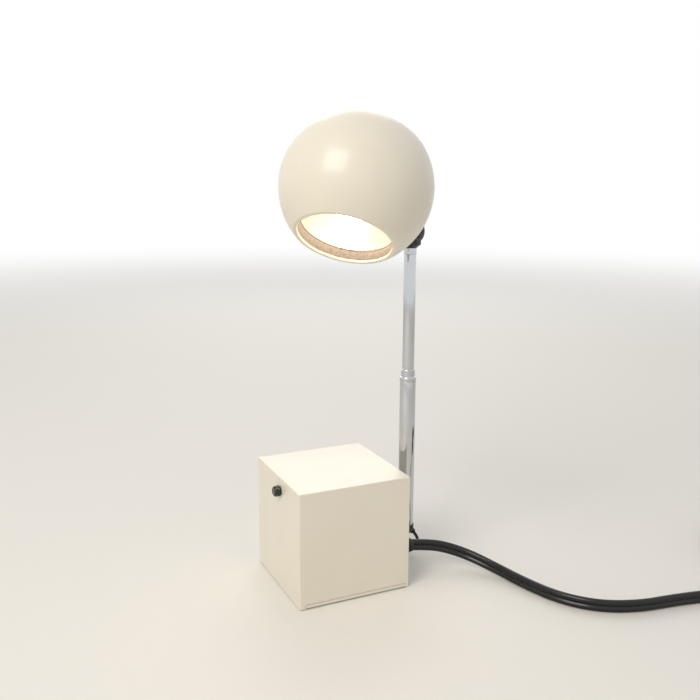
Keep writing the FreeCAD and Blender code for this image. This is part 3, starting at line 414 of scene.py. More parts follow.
CAD_FINISHES: dict[str, Finish] = {
    "base_shell": IVORY_ENAMEL, "base_plate": IVORY_ENAMEL, "base_screws": ZINC_PLATED,
    "transformer_core": SILICON_STEEL, "transformer_bobbin": NATURAL_NYLON,
    "primary_winding": ENAMELLED_COPPER, "secondary_winding": ENAMELLED_COPPER,
    "transformer_strap": ZINC_PLATED, "strap_screws": ZINC_PLATED, "switch_body": GREY_PLASTIC,
    "lead_grommet": BLACK_RUBBER, "pivot_washers": RED_FIBRE, "pivot_spring_washer": ZINC_PLATED,
    "pivot_nut": ZINC_PLATED, "pivot_stud": ZINC_PLATED, "arm_saddle": TURNED_CHROME,
    "middle_bush": NATURAL_NYLON, "middle_gland": NATURAL_NYLON, "inner_bush": NATURAL_NYLON,
    "knuckle_fork": BLACK_LACQUER, "friction_washers": RED_FIBRE,
    "hinge_screw": BLACK_LACQUER, "hinge_nut": BLACK_LACQUER, "stub_arm": TURNED_CHROME,
    "saddle_washer": BLACK_LACQUER, "stub_washer": ZINC_PLATED, "stub_nut": ZINC_PLATED,
    "inner_cup": ZINC_PLATED, "socket_bracket": ZINC_PLATED, "lamp_socket": NICKEL_BRASS,
    "socket_insulator": GREY_PLASTIC, "socket_contacts": NICKEL_BRASS, "bulb_cap": NICKEL_BRASS,
    "plug_blades": NICKEL_BRASS,
}


def dress(piece: Piece, finish: Finish) -> None:
    """Gives every slot of a piece one finish.

    Args:
        piece: The mesh or curve to dress.
        finish: Its finish.
    """
    piece.data.materials.clear()
    piece.data.materials.append(finish.build())


def settle(piece: Piece, body: Body, finish: Finish, slot: str, *names: str) -> None:
    """Dresses a piece, hangs it on its body, hides the frame's nodes that it replaces and logs its body.

    Args:
        piece: The piece.
        body: The body that it moves with.
        finish: Its finish.
        slot: The record's material slot for the piece. It is not used.
        *names: The frame's nodes that it replaces.
    """
    dress(piece, finish)
    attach(piece, body.value)
    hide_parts(*names)
    LOG.info("%s rides on %s", piece.name, body.value)


def dress_nodes() -> None:
    """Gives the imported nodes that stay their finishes, and plates the neck of the fork."""
    for name, finish in CAD_FINISHES.items():
        dress(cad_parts[name], finish)
    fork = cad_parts["knuckle_fork"]
    fork.data.materials.append(TURNED_CHROME.build())
    for face in fork.data.polygons:
        if (fork.matrix_world @ face.center).z < NECK_TOP_MM * MM:
            face.material_index = 1
    LOG.info("dressed %d packed nodes", len(CAD_FINISHES))


def mm(points: Iterable[Sequence[float]]) -> list[tuple[float, ...]]:
    """Turns points in millimetres to metres."""
    return [tuple(value * MM for value in point) for point in points]


def at(x: float, y: float, z: float) -> Matrix:
    """A shift by millimetres."""
    return Matrix.Translation(Vector((x, y, z)) * MM)


def turn(degrees: float, axis: str) -> Matrix:
    """A turn about an axis."""
    return Matrix.Rotation(math.radians(degrees), 4, axis)


def full_turn(count: int) -> list[float]:
    """Evenly spaced angles round one turn, in radians."""
    return [2 * math.pi * k / count for k in range(count)]


def raised(steps: Steps, height: float) -> Profile:
    """Corners of a turned outline, lifted by a height."""
    return [(radius, height + z) for radius, z in steps]


def arc(radius: float, start: float, end: float, runs: int, centre: Pair = (0.0, 0.0)) -> Profile:
    """Points of an arc in a lathe profile, with angles in degrees up from level."""
    angles = [math.radians(start + (end - start) * k / runs) for k in range(runs + 1)]
    return [(centre[0] + radius * math.cos(a), centre[1] + radius * math.sin(a)) for a in angles]


def arc_through(a: Pair, b: Pair, c: Pair, runs: int) -> Profile:
    """Points of the arc from a through b to c in a lathe profile.

    Args:
        a: Its start.
        b: A point on it.
        c: Its end.
        runs: Runs that it is drawn with.

    Returns:
        The points, with both ends.
    """
    (ax, ay), (bx, by), (cx, cy) = a, b, c
    twice = 2 * (ax * (by - cy) + bx * (cy - ay) + cx * (ay - by))
    squares = [x * x + y * y for x, y in (a, b, c)]
    x0 = (squares[0] * (by - cy) + squares[1] * (cy - ay) + squares[2] * (ay - by)) / twice
    y0 = (squares[0] * (cx - bx) + squares[1] * (ax - cx) + squares[2] * (bx - ax)) / twice
    angles = [math.atan2(y - y0, x - x0) for x, y in (a, b, c)]
    for k in (1, 2):
        while angles[k] - angles[k - 1] > math.pi:
            angles[k] -= 2 * math.pi
        while angles[k] - angles[k - 1] < -math.pi:
            angles[k] += 2 * math.pi
    radius = math.hypot(ax - x0, ay - y0)
    marks = [angles[0] + (angles[2] - angles[0]) * k / runs for k in range(runs + 1)]
    return [(x0 + radius * math.cos(m), y0 + radius * math.sin(m)) for m in marks]


def softened(profile: Profile, radius: float) -> Profile:
    """Rounds the corners of a lathe profile.

    Args:
        profile: Points of (radius, height) as an open line.
        radius: How far from a corner its rounding starts, cut down on short runs.

    Returns:
        The profile with each inner corner rounded.
    """
    nothing = 1e-9
    straight = math.radians(165)
    share_of_run = 0.45
    runs = 3
    made = [profile[0]]
    for before, corner, after in zip(profile, profile[1:], profile[2:]):
        here = Vector(corner)
        to_last = Vector(before) - here
        to_next = Vector(after) - here
        if min(to_last.length, to_next.length) < nothing or to_last.angle(to_next) > straight:
            made.append(corner)
            continue
        reach = min(radius, share_of_run * to_last.length, share_of_run * to_next.length)
        first = here + to_last.normalized() * reach
        last = here + to_next.normalized() * reach
        for k in range(runs + 1):
            t = k / runs
            spot = first * (1 - t) ** 2 + here * 2 * t * (1 - t) + last * t ** 2
            made.append((spot.x, spot.y))
    made.append(profile[-1])
    return made


def new_object(name: str, data: bpy.types.ID) -> Piece:
    """Puts an object with the given data in the scene.

    Args:
        name: Its name.
        data: Its mesh, curve, light or camera.

    Returns:
        The object, at the origin.
    """
    made = bpy.data.objects.new(name, data)
    bpy.context.scene.collection.objects.link(made)
    return made


def finished(name: str, mesh: bmesh.types.BMesh, place: Matrix, crease: float = CREASE_DEG) -> Piece:
    """Turns a bmesh into an object in the row frame with smooth shading and sharp creases.

    Args:
        name: The piece's name.
        mesh: The mesh, which is freed.
        place: Where the mesh's own frame lies in the row frame.
        crease: Edges that turn by more than this many degrees stay sharp.

    Returns:
        The new mesh object, at the origin.
    """
    bmesh.ops.recalc_face_normals(mesh, faces=mesh.faces)
    data = bpy.data.meshes.new(name)
    mesh.to_mesh(data)
    mesh.free()
    data.transform(place)
    data.shade_smooth()
    data.set_sharp_from_angle(angle=math.radians(crease))
    return new_object(name, data)


def bridge(mesh: bmesh.types.BMesh, rings: Sequence[list[bmesh.types.BMVert]], ends: bool = False) -> None:
    """Joins each ring of vertices to the next one with faces.

    Args:
        mesh: The mesh that the rings are in.
        rings: Rings of one length. A pole on an axis is a ring of one vertex, repeated.
        ends: Whether the first and the last ring are filled too.
    """
    for low, high in zip(rings, rings[1:]):
        for k in range(len(low)):
            after = (k + 1) % len(low)
            corners = dict.fromkeys((low[k], low[after], high[after], high[k]))
            if len(corners) > 2:
                mesh.faces.new(list(corners))
    if ends:
        mesh.faces.new(rings[0])
        mesh.faces.new(rings[-1])


def lathe(name: str, profile: Profile, place: Matrix, around: int = 96, closed: bool = True) -> Piece:
    """Turns a profile about its Z axis.

    Args:
        name: The piece's name.
        profile: Points of (radius, height) in metres.
        place: Where the piece's own frame lies in the row frame.
        around: Faces round the axis.
        closed: Whether the profile is a closed loop rather than a line from axis to axis.

    Returns:
        The new mesh object.
    """
    on_axis = 1e-7
    mesh = bmesh.new()
    rings = []
    for radius, height in profile:
        if radius < on_axis:
            rings.append([mesh.verts.new((0, 0, height))] * around)
        else:
            rings.append([mesh.verts.new((radius * math.cos(a), radius * math.sin(a), height))
                          for a in full_turn(around)])
    bridge(mesh, rings + rings[:1] if closed else rings)
    return finished(name, mesh, place)


def round_bar(name: str, spots: Sequence[Vector], radii: Sequence[float], around: int) -> Piece:
    """Lays rings of given radii along a line of points and closes both ends.

    Args:
        name: The piece's name.
        spots: Points down the middle, in metres in the row frame.
        radii: A radius for each point.
        around: Faces round the line.

    Returns:
        The new mesh object.
    """
    upright = Vector((0, 0, 1))
    near_upright = 0.05
    mesh = bmesh.new()
    rings = []
    for k, spot in enumerate(spots):
        heading = (spots[min(k + 1, len(spots) - 1)] - spots[max(k - 1, 0)]).normalized()
        side = heading.cross(upright)
        side = side.normalized() if side.length > near_upright else Vector((1, 0, 0))
        up = side.cross(heading)
        rings.append([mesh.verts.new(spot + (side * math.cos(a) + up * math.sin(a)) * radii[k])
                      for a in full_turn(around)])
    bridge(mesh, rings, ends=True)
    return finished(name, mesh, Matrix.Identity(4))


def loft(name: str, sections: Sequence[Four], place: Matrix, around: int, crease: float) -> Piece:
    """Joins rounded-rectangle sections along X and closes both ends.

    Args:
        name: The piece's name.
        sections: For each, its x, half width in y and half height in z, in millimetres, and its
            squareness: 2 is an ellipse and larger is squarer.
        place: Where the piece's own frame lies in the row frame.
        around: Points round each section.
        crease: Edges that turn by more than this many degrees stay sharp.

    Returns:
        The new mesh object.
    """
    mesh = bmesh.new()
    rings = []
    for x, half_w, half_h, square in sections:
        ring = []
        for a in full_turn(around):
            y = math.copysign(abs(math.cos(a)) ** (2 / square), math.cos(a)) * half_w
            z = math.copysign(abs(math.sin(a)) ** (2 / square), math.sin(a)) * half_h
            ring.append(mesh.verts.new(Vector((x, y, z)) * MM))
        rings.append(ring)
    bridge(mesh, rings, ends=True)
    return finished(name, mesh, place, crease)


def spline_data(name: str, points: Sequence[Point], resolution: int) -> bpy.types.Curve:
    """A curve of one open smooth spline that its control points guide.

    Args:
        name: The curve's name.
        points: The control points, in metres.
        resolution: Steps on each span.

    Returns:
        The curve.
    """
    data = bpy.data.curves.new(name, "CURVE")
    data.dimensions = "3D"
    data.resolution_u = resolution
    spline = data.splines.new("NURBS")
    spline.points.add(len(points) - 1)
    for spot, point in zip(spline.points, points):
        spot.co = (*point, 1.0)
    spline.order_u = 3
    spline.use_endpoint_u = True
    return data


def smooth_line(points: Sequence[Point]) -> list[Vector]:
    """The points of a lead's smooth curve.

    Args:
        points: The route's control points, in metres.

    Returns:
        Points along the curve.
    """
    steps_a_span = 10
    data = spline_data("line", points, steps_a_span)
    carrier = bpy.data.objects.new("line", data)
    mesh = bpy.data.meshes.new_from_object(carrier)
    line = [v.co.copy() for v in mesh.vertices]
    bpy.data.meshes.remove(mesh)
    bpy.data.objects.remove(carrier)
    bpy.data.curves.remove(data)
    return line


@dataclass
class Studio:
    """A plain pale floor, soft light from above and the side, and the photograph's camera."""

    azimuth: float = 65.0
    elevation: float = 12.02
    distance_mm: float = 540.46
    roll: float = 0.22
    lens_mm: float = 43.49
    sensor_mm: float = 36.0
    sight: Pair = (0.01, 100.0)
    target_right_mm: float = 11.75
    target_z_mm: float = 154.76
    floor_half: float = 12.0
    floor_squares: int = 8
    floor_grain_mm: float = 1.2
    fade: Pair = (0.7, 2.6)
    sky_strength: float = 0.55
    lamp_aim: Point = (0.0, 0.0, 0.15)
    key_at: Point = (0.55, -0.95, 1.1)
    key_side: float = 0.7
    key_watts: float = 10.5
    fill_at: Point = (-1.1, 0.5, 0.9)
    fill_side: float = 0.9
    fill_watts: float = 4.0

    def camera(self) -> None:
        """Sets up the camera at the photograph's viewing angle."""
        az = math.radians(self.azimuth)
        el = math.radians(self.elevation)
        roll = math.radians(self.roll)
        back = Vector((math.sin(az) * math.cos(el), -math.cos(az) * math.cos(el), math.sin(el)))
        right = Vector((math.cos(az), math.sin(az), 0))
        up = back.cross(right)
        leaned_right = right * math.cos(roll) + up * math.sin(roll)
        leaned_up = up * math.cos(roll) - right * math.sin(roll)
        target = (right * self.target_right_mm + Vector((0, 0, self.target_z_mm))) * MM
        data = bpy.data.cameras.new("camera")
        data.lens = self.lens_mm
        data.sensor_width = self.sensor_mm
        data.clip_start, data.clip_end = self.sight
        camera = new_object("camera", data)
        pose = Matrix((leaned_right, leaned_up, back)).transposed().to_4x4()
        pose.translation = target + back * self.distance_mm * MM
        camera.matrix_world = pose
        bpy.context.scene.camera = camera

    def lamp(self, name: str, place: Point, side: float, watts: float, tint: str) -> None:
        """Hangs one soft square light that faces the object.

        Args:
            name: The light's name.
            place: Where it hangs, in metres.
            side: Its side, in metres.
            watts: Its power.
            tint: Its colour.
        """
        data = bpy.data.lights.new(name, "AREA")
        data.shape = "SQUARE"
        data.size = side
        data.energy = watts
        data.color = linear(tint)[:3]
        light = new_object(name, data)
        light.location = place
        light.rotation_euler = (Vector(self.lamp_aim) - Vector(place)).to_track_quat("-Z", "Y").to_euler()

    def floor(self) -> None:
        """Lays a pale floor that runs out to white far from the lamp."""
        mesh = bmesh.new()
        bmesh.ops.create_grid(mesh, x_segments=self.floor_squares, y_segments=self.floor_squares,
                              size=self.floor_half)
        ground = finished("studio_floor", mesh, Matrix.Identity(4))
        material = bpy.data.materials.new("pale_matt_floor")
        tree = blank_tree(material)
        coords = add_node(tree, "ShaderNodeTexCoord").outputs["Object"]
        grain = add_node(tree, "ShaderNodeTexNoise", {
            "Vector": coords, "Scale": per_metre(self.floor_grain_mm), "Detail": 3.0})
        tone = add_node(tree, "ShaderNodeMix", {
            "Factor": grain.outputs["Fac"], 6: linear("#EDEAE4"), 7: linear("#E6E3DC")}, data_type="RGBA")
        paper = add_node(tree, "ShaderNodeBsdfPrincipled", {
            "Base Color": tone.outputs[2], "Roughness": 0.7})
        away = add_node(tree, "ShaderNodeVectorMath", {0: coords}, operation="LENGTH")
        far = add_node(tree, "ShaderNodeMapRange", {
            "Value": away.outputs["Value"], "From Min": self.fade[0], "From Max": self.fade[1],
            "To Min": 0.0, "To Max": 1.0}, interpolation_type="SMOOTHSTEP")
        seen = self.seen(tree)
        share = add_node(tree, "ShaderNodeMath", {0: far.outputs["Result"], 1: seen}, operation="MULTIPLY")
        white = add_node(tree, "ShaderNodeEmission", {"Color": linear("#FFFFFF"), "Strength": 1.0})
        both = add_node(tree, "ShaderNodeMixShader", {
            "Fac": share.outputs["Value"], 1: paper.outputs["BSDF"], 2: white.outputs["Emission"]})
        add_node(tree, "ShaderNodeOutputMaterial", {"Surface": both.outputs["Shader"]})
        ground.data.materials.append(material)

    def seen(self, tree: Tree) -> Socket:
        """One where a surface is seen directly, in a reflection or through glass.

        Args:
            tree: The node tree that gets the nodes.

        Returns:
            The output, one or nought.
        """
        path = add_node(tree, "ShaderNodeLightPath")
        mirrored = add_node(tree, "ShaderNodeMath", {
            0: path.outputs["Is Glossy Ray"], 1: path.outputs["Is Transmission Ray"]}, operation="MAXIMUM")
        either = add_node(tree, "ShaderNodeMath", {
            0: path.outputs["Is Camera Ray"], 1: mirrored.outputs["Value"]}, operation="MAXIMUM")
        return either.outputs["Value"]

    def sky(self) -> None:
        """Fills the room with even light, and shows white behind the lamp."""
        world = bpy.data.worlds.new("studio")
        tree = blank_tree(world)
        strength = add_node(tree, "ShaderNodeMapRange", {
            "Value": self.seen(tree), "From Min": 0.0, "From Max": 1.0,
            "To Min": self.sky_strength, "To Max": 1.0})
        even = add_node(tree, "ShaderNodeBackground", {
            "Color": linear("#FFFFFF"), "Strength": strength.outputs["Result"]})
        add_node(tree, "ShaderNodeOutputWorld", {"Surface": even.outputs["Background"]})
        bpy.context.scene.world = world

    def build(self) -> None:
        """Makes the whole studio."""
        self.camera()
        self.floor()
        self.sky()
        self.lamp("key", self.key_at, self.key_side, self.key_watts, "#FFF8EE")
        self.lamp("fill", self.fill_at, self.fill_side, self.fill_watts, "#FFFFFF")
        bpy.context.scene.view_settings.view_transform = "Standard"
        LOG.info("studio is set")


@dataclass
class CubeBase:
    """What the cube carries: the switch knob, the felt and the cord's strain relief.

    The knob's steps count inward from its radius, and up from its back. The strain relief's
    steps count from its inner end, the wall's two faces and its tip.
    """

    half_mm: float = 38.1
    wall_mm: float = 1.6
    felt_t_mm: float = 1.0
    felt_inset_mm: float = 2.6
    felt_corner_mm: float = 1.5
    felt_corner_runs: int = 6
    felt_run_mm: float = 1.5
    felt_rag: float = 0.0012
    felt_rag_turns: Pair = (17.0, 5.3)
    felt_round_mm: float = 0.12
    felt_pulls_mm: Four = (0.25, 0.06, 0.0, 0.03)
    screw_at_mm: float = 31.0
    screw_hole_mm: float = 3.1
    screw_hole_runs: int = 28
    knob_at_mm: Pair = (5.0, 67.5)
    knob_back_mm: float = 38.8
    knob_r_mm: float = 3.6
    knob_steps_mm: Steps = ((0.25, 0.0), (0.0, 0.25), (0.0, 0.8), (0.12, 0.95), (0.12, 2.6), (0.35, 3.3),
                            (0.85, 3.78), (1.3, 4.0))
    knob_dish_mm: Pair = (0.12, 0.2)
    shaft_r_mm: float = 1.4
    shaft_l_mm: float = 9.0
    shaft_edge_mm: float = 0.2
    relief_at_mm: Pair = (13.0, 16.2)
    relief_in_mm: float = 28.5
    relief_out_mm: float = 15.6
    inner_end_steps_mm: Steps = ((0.0, 0.0), (4.6, 0.0), (5.4, 1.0))
    inner_flange_steps_mm: Steps = ((5.4, -1.4), (7.0, -1.4), (7.0, 0.0), (5.4, 0.0))
    outer_flange_steps_mm: Steps = ((5.4, 0.0), (7.0, 0.0), (7.0, 1.0), (6.4, 1.4), (5.3, 1.4))
    tip_steps_mm: Steps = ((4.5, -0.5), (4.2, 0.0), (0.0, 0.0))
    ribs: int = 5
    ribs_from_mm: float = 2.6
    ribs_stop_mm: float = 1.6
    rib_r_mm: float = 5.25
    rib_taper_mm: float = 0.8
    rib_slope_mm: float = 0.3
    rib_lip_mm: float = 0.05
    groove_mm: float = 0.75
    groove_share: float = 0.42

    def knob(self) -> None:
        """A small turned-looking knob with a soft edge, a faint dish in its face and a fine skirt."""
        r = self.knob_r_mm
        face = self.knob_steps_mm[-1][1]
        shaft = [(0.0, -self.shaft_l_mm), (self.shaft_r_mm - self.shaft_edge_mm, -self.shaft_l_mm),
                 (self.shaft_r_mm, self.shaft_edge_mm - self.shaft_l_mm), (self.shaft_r_mm, 0.0)]
        cap = [(r - inset, z) for inset, z in self.knob_steps_mm]
        dish = [(r / 2, face - self.knob_dish_mm[0]), (0.0, face - self.knob_dish_mm[1])]
        rounded = softened(mm(shaft + cap + dish), Corner.BROKEN.value)
        place = at(self.knob_at_mm[0], -self.knob_back_mm, self.knob_at_mm[1]) @ turn(90, "X")
        knob = lathe("knob", rounded, place, around=72, closed=False)
        settle(knob, Body.KNOB, BLACK_KNOB, "black_plastic", "switch_knob")

    def felt_edge(self) -> list[Vector]:
        """The felt's outline, a little ragged from its fibres.

        Returns:
            Points in millimetres round the pad, a short run apart.
        """
        half = self.half_mm - self.felt_inset_mm
        corner = self.felt_corner_mm
        outline = []
        for quarter, (sx, sy) in enumerate(((1, 1), (-1, 1), (-1, -1), (1, -1))):
            centre = Vector((sx * (half - corner), sy * (half - corner)))
            for k in range(self.felt_corner_runs + 1):
                a = math.radians(90 * quarter + 90 / self.felt_corner_runs * k)
                outline.append(centre + Vector((math.cos(a), math.sin(a))) * corner)
        edge = []
        for a, b in zip(outline, outline[1:] + outline[:1]):
            runs = max(1, round((b - a).length / self.felt_run_mm))
            edge += [a.lerp(b, k / runs) for k in range(runs)]
        slow, fast = self.felt_rag_turns
        return [spot * (1 - self.felt_rag * (1 + math.sin(slow * k) * math.cos(fast * k)))
                for k, spot in enumerate(edge)]

    def felt(self) -> None:
        """A die-cut felt pad with a screw hole in two of its corners."""
        edge = self.felt_edge()
        mesh = bmesh.new()
        levels = (0.0, self.felt_round_mm, self.felt_t_mm / 2, self.felt_t_mm)
        side = []
        for z, pull in zip(levels, self.felt_pulls_mm):
            side.append([mesh.verts.new(Vector((s.x - math.copysign(pull, s.x),
                                                s.y - math.copysign(pull, s.y), z)) * MM) for s in edge])
        bridge(mesh, side)
        walls = [side]
        for sign in (1, -1):
            spots = [(sign * self.screw_at_mm + self.screw_hole_mm * math.cos(a),
                      -sign * self.screw_at_mm + self.screw_hole_mm * math.sin(a))
                     for a in full_turn(self.screw_hole_runs)]
            hole = [[mesh.verts.new(Vector((x, y, z)) * MM) for x, y in spots]
                    for z in (0.0, self.felt_t_mm)]
            bridge(mesh, hole)
            walls.append(hole)
        for level in (0, -1):
            border = [mesh.edges.get(pair) for wall in walls
                      for pair in zip(wall[level], wall[level][1:] + wall[level][:1])]
            bmesh.ops.triangle_fill(mesh, edges=border, use_beauty=True)
        felt = finished("felt_foot", mesh, Matrix.Identity(4))
        settle(felt, Body.BASE, BLACK_FELT, "felt", "felt_pad")

    def strain_relief(self) -> None:
        """A tapered sleeve with grooves that let it bend, held in the wall by a flange on each side."""
        wall = self.half_mm
        tip = wall + self.relief_out_mm
        outline = (raised(self.inner_end_steps_mm, self.relief_in_mm)
                   + raised(self.inner_flange_steps_mm, wall - self.wall_mm)
                   + raised(self.outer_flange_steps_mm, wall))
        first = wall + self.ribs_from_mm
        pitch = (tip - self.ribs_stop_mm - first) / self.ribs
        for k in range(self.ribs):
            y = first + k * pitch
            end = y + pitch * self.groove_share
            r = self.rib_r_mm - self.rib_taper_mm * (y - wall) / (tip - wall)
            outline += [(r, y), (r - self.groove_mm, y + self.rib_slope_mm), (r - self.groove_mm, end),
                        (r - self.rib_lip_mm, end + self.rib_slope_mm)]
        outline += raised(self.tip_steps_mm, tip)
        place = at(self.relief_at_mm[0], 0.0, self.relief_at_mm[1]) @ turn(-90, "X")
        rounded = softened(mm(outline), Corner.BROKEN.value)
        sleeve = lathe("strain_relief_sleeve", rounded, place, around=64, closed=False)
        settle(sleeve, Body.BASE, BLACK_RUBBER, "black_rubber", "strain_relief")

    def build(self) -> None:
        """Makes the knob, the felt and the strain relief."""
        self.knob()
        self.felt()
        self.strain_relief()


@dataclass
class TelescopicArm:
    """The three plated tubes, the stepped collar, and the boot and leads at the foot.

    A tube is its outer radius, inner radius, foot and top. The boot is its radius, its foot's
    radius, its foot and its top. The nozzle's shares are of its length, back from its end, and
    of its radius.
    """

    y_mm: float = 56.0
    lower_mm: Four = (5.35, 4.75, 25.0, 128.5)
    middle_mm: Four = (4.0, 3.5, 116.0, 213.95)
    inner_mm: Four = (3.0, 2.5, 118.0, 214.0)
    collar_spigot_mm: float = 6.5
    collar_steps_mm: Steps = ((5.5, 0.0), (5.5, 2.9), (5.28, 3.35), (4.9, 3.5), (4.65, 3.55), (4.62, 7.4),
                              (4.7, 7.55), (4.8, 7.8), (4.8, 8.15), (4.66, 8.4), (4.4, 8.5))
    running_mm: float = 0.05
    boot_mm: Four = (5.8, 4.2, 19.5, 26.5)
    boot_foot_mm: Pair = (0.8, 0.7)
    boot_lip_mm: float = 23.6
    boot_edge_mm: Pair = (0.2, 0.4)
    outlet_mm: Point = (0.0, 62.4, 19.0)
    outlet_r_mm: float = 1.9
    outlet_l_mm: float = 5.5
    nozzle_shares: Steps = ((1.0, 1.0), (0.5, 1.02), (0.22, 1.0), (0.18, 0.86), (0.1, 0.86), (0.06, 1.0),
                            (0.02, 0.97), (0.0, 0.8))
    lead_r_mm: float = 1.1
    lead_end_mm: Point = (-4.0, 39.3, 8.0)
    lead_route_mm: tuple[Point, ...] = (
        (0.0, 66.0, 14.6), (-0.8, 66.7, 9.2), (-1.8, 63.6, 4.6), (-2.8, 57.0, 2.4), (-3.4, 50.0, 3.6),
        (-4.0, 44.4, 8.0))
    tube_lead_mm: Point = (0.9, 24.0, 204.0)
    tube_lead_runs: int = 60
    tube_lead_keep: float = 0.55

    def tube(self, name: str, size: Four, body: Body) -> None:
        """One seamless tube with broken ends.

        Args:
            name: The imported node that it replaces.
            size: Outer radius, inner radius, foot and top, in millimetres.
            body: The body that it moves with.
        """
        outer, inner, low, high = size
        loop = [(inner, low), (outer, low), (outer, high), (inner, high)]
        rounded = softened(mm(loop + loop[:2]), Corner.BROKEN.value)[1:-1]
        made = lathe(f"{name}_plated", rounded, at(0, self.y_mm, 0))
        settle(made, body, CHROME_PLATE, "chrome", name)

    def collar(self) -> None:
        """The turned collar in the lower tube's mouth: a wide ring, a narrow step and a bead."""
        _, inner, _, top = self.lower_mm
        bore = self.middle_mm[0] + self.running_mm
        foot = top - self.collar_spigot_mm
        outline = [(bore, foot), (inner, foot), (inner, top), *raised(self.collar_steps_mm, top),
                   (bore, top + self.collar_steps_mm[-1][1])]
        made = lathe("lower_collar_turned", softened(mm(outline), Corner.KEEN.value), at(0, self.y_mm, 0))
        settle(made, Body.LOWER, TURNED_CHROME, "chrome", "lower_collar")

    def boot(self) -> None:
        """The moulded boot over the tube's foot and the nozzle that the lead leaves by."""
        outer, foot, low, high = self.boot_mm
        tube_r, _, tube_low, _ = self.lower_mm
        outline = [(0.0, low), (foot - self.boot_foot_mm[0], low), (foot, low + self.boot_foot_mm[1]),
                   (outer, self.boot_lip_mm), (outer, high - self.boot_edge_mm[1]),
                   (outer - self.boot_edge_mm[0], high), (tube_r, high), (tube_r, tube_low),
                   (0.0, tube_low)]
        rounded = softened(mm(outline), Corner.BROKEN.value)
        cap = lathe("foot_boot_cap", rounded, at(0, self.y_mm, 0), around=72, closed=False)
        settle(cap, Body.LOWER, BLACK_RUBBER, "black_rubber", "foot_boot")
        end = Vector(self.outlet_mm)
        heading = (Vector(self.lead_route_mm[0]) - end).normalized()
        spots = [(end - heading * self.outlet_l_mm * back) * MM for back, _ in self.nozzle_shares]
        radii = [self.outlet_r_mm * wide * MM for _, wide in self.nozzle_shares]
        nozzle = round_bar("foot_boot_nozzle", spots, radii, around=32)
        settle(nozzle, Body.LOWER, BLACK_RUBBER, "black_rubber", "foot_boot")

    def leads(self) -> None:
        """The thin lead from the boot to the base, and the one up the tubes."""
        line = smooth_line(mm([self.outlet_mm, *self.lead_route_mm, self.lead_end_mm]))
        lead = round_bar("arm_lead_flex", line, [self.lead_r_mm * MM] * len(line), around=20)
        dress(lead, BLACK_FLEX)
        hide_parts("arm_lead")
        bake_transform(lead)
        LOG.info("%s bends between the base and the arm", lead.name)
        radius, low, high = self.tube_lead_mm
        runs = self.tube_lead_runs
        spots = [Vector((0, self.y_mm, low + (high - low) * k / runs)) * MM for k in range(runs + 1)]
        inner = round_bar("tube_lead_flex", spots, [radius * MM] * len(spots), around=16)
        settle(inner, Body.LOWER, BLACK_FLEX, "black_rubber", "tube_lead")
        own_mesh(inner)

    def build(self) -> None:
        """Makes the tubes, collar, boot and leads."""
        self.tube("lower_tube", self.lower_mm, Body.LOWER)
        self.tube("middle_tube", self.middle_mm, Body.MIDDLE)
        self.tube("inner_tube", self.inner_mm, Body.INNER)
        self.collar()
        self.boot()
        self.leads()


